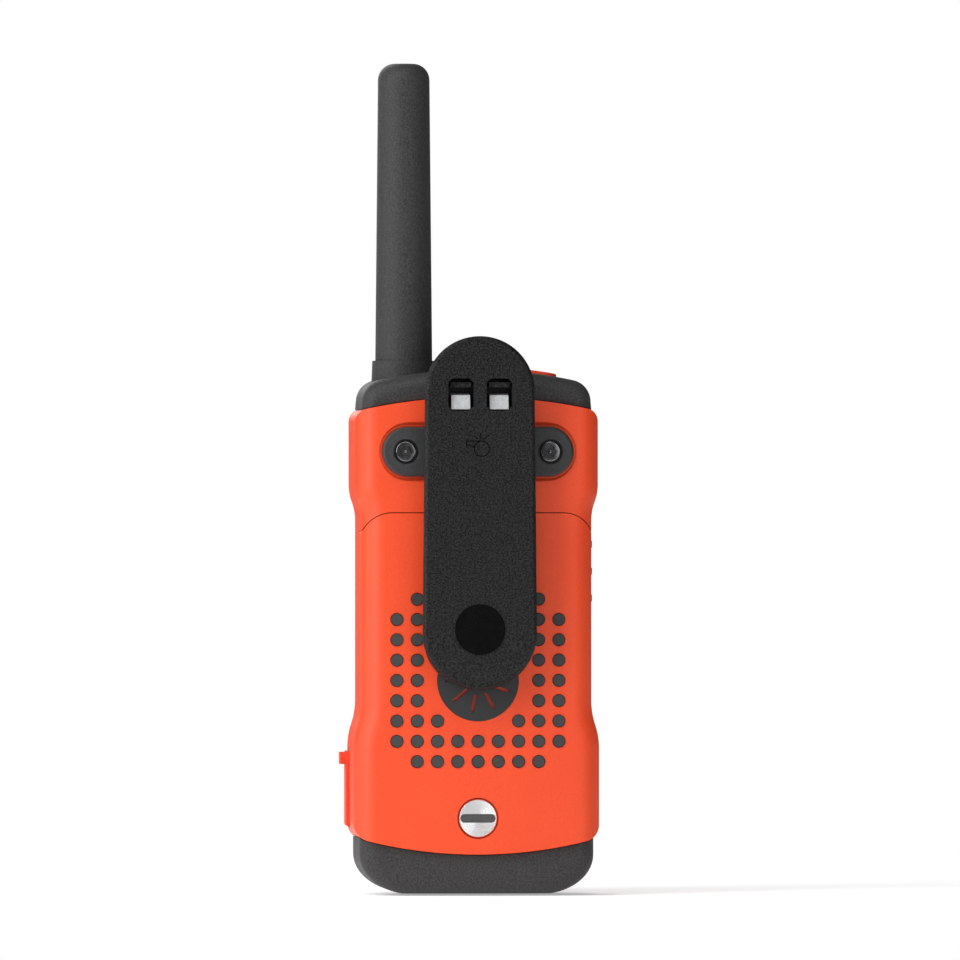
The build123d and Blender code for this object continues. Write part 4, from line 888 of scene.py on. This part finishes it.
cameraLook = {"azimuth": 176.2, "elevation": 0.0, "distance": 4.0, "width": 0.2208,
              "aside": -0.00158, "height": 0.095, "sensorMm": 36, "near": 0.05}


def wayTo(azimuth, elevation):
    # unit direction from the object to a place round it, azimuth 0 being the front
    turn, tip = radians(azimuth), radians(elevation)
    return Vector((sin(turn) * cos(tip), -cos(turn) * cos(tip), sin(tip)))


def standAt(thing, target, back, distance):
    bpy.context.scene.collection.objects.link(thing)
    thing.location = target + back * distance
    thing.rotation_mode = "QUATERNION"
    thing.rotation_quaternion = (-back).to_track_quat("-Z", "Y")


def addCamera():
    back = wayTo(cameraLook["azimuth"], cameraLook["elevation"])
    turn = radians(cameraLook["azimuth"])
    left = Vector((-cos(turn), -sin(turn), 0))
    target = left * cameraLook["aside"] + Vector((0, 0, cameraLook["height"]))
    data = bpy.data.cameras.new("StudioCamera")
    data.sensor_width = cameraLook["sensorMm"]
    data.lens = cameraLook["sensorMm"] * cameraLook["distance"] / cameraLook["width"]
    data.clip_start = cameraLook["near"]
    camera = bpy.data.objects.new("StudioCamera", data)
    standAt(camera, target, back, cameraLook["distance"])
    bpy.context.scene.camera = camera


lights = {   # azimuth, elevation, distance in metres, size, watts
    "KeySoftbox": (128, 22, 0.9, (0.45, 0.8), 6.2),
    "FillSoftbox": (206, 14, 1.1, (0.6, 0.8), 2.0),
    "TopSoftbox": (165, 58, 0.9, (0.7, 0.5), 3.4),
    "FrontSoftbox": (20, 30, 1.1, (0.6, 0.8), 5.0),
    "SideStrip": (88, 6, 0.8, (0.10, 0.8), 1.6),
}
lightAim = 0.08          # height the lights point at


def addLights():
    aim = Vector((0, 0, lightAim))
    for name, (azimuth, elevation, distance, size, watts) in lights.items():
        data = bpy.data.lights.new(name, "AREA")
        data.shape = "RECTANGLE"
        data.size, data.size_y = size
        data.energy = watts
        lamp = bpy.data.objects.new(name, data)
        standAt(lamp, aim, wayTo(azimuth, elevation), distance)


studio = {"radius": 0.45, "below": 0.0003, "fibreScale": 40.0, "paper": ("F8F8F8", "FAFAFA"),
          "rough": 0.9, "lift": 0.35, "seen": 1.0, "glow": 0.10}


def addStudio():
    # white paper floor, and a white surround that is seen bright but lights only a little
    white = (1, 1, 1, 1)
    bpy.ops.mesh.primitive_circle_add(radius=studio["radius"], vertices=96, fill_type="NGON",
                                      location=(0, 0, -studio["below"]))
    floor = bpy.context.object
    floor.name = "PaperFloor"
    material, tree, shader, place = startMaterial("Seamless paper white")
    fibre = addNode(tree, "ShaderNodeTexNoise", {
        "Vector": place, "Scale": studio["fibreScale"]})
    tree.links.new(twoColours(tree, fibre.outputs["Fac"], *studio["paper"]),
                   shader.inputs["Base Color"])
    shader.inputs["Roughness"].default_value = studio["rough"]
    shader.inputs["Emission Color"].default_value = white
    shader.inputs["Emission Strength"].default_value = studio["lift"]
    floor.data.materials.append(material)
    world = bpy.data.worlds.new("Surround")
    bpy.context.scene.world = world
    world.use_nodes = True
    tree = world.node_tree
    tree.nodes.clear()
    seen = addNode(tree, "ShaderNodeBackground", {"Color": white, "Strength": studio["seen"]})
    glow = addNode(tree, "ShaderNodeBackground", {"Color": white, "Strength": studio["glow"]})
    path = addNode(tree, "ShaderNodeLightPath")
    mix = addNode(tree, "ShaderNodeMixShader", {0: path.outputs["Is Camera Ray"]})
    tree.links.new(glow.outputs[0], mix.inputs[1])
    tree.links.new(seen.outputs[0], mix.inputs[2])
    out = addNode(tree, "ShaderNodeOutputWorld")
    tree.links.new(mix.outputs[0], out.inputs["Surface"])


addCamera()
addLights()
addStudio()
bpy.context.scene.view_settings.view_transform = "Standard"
print("camera, lights and floor done")
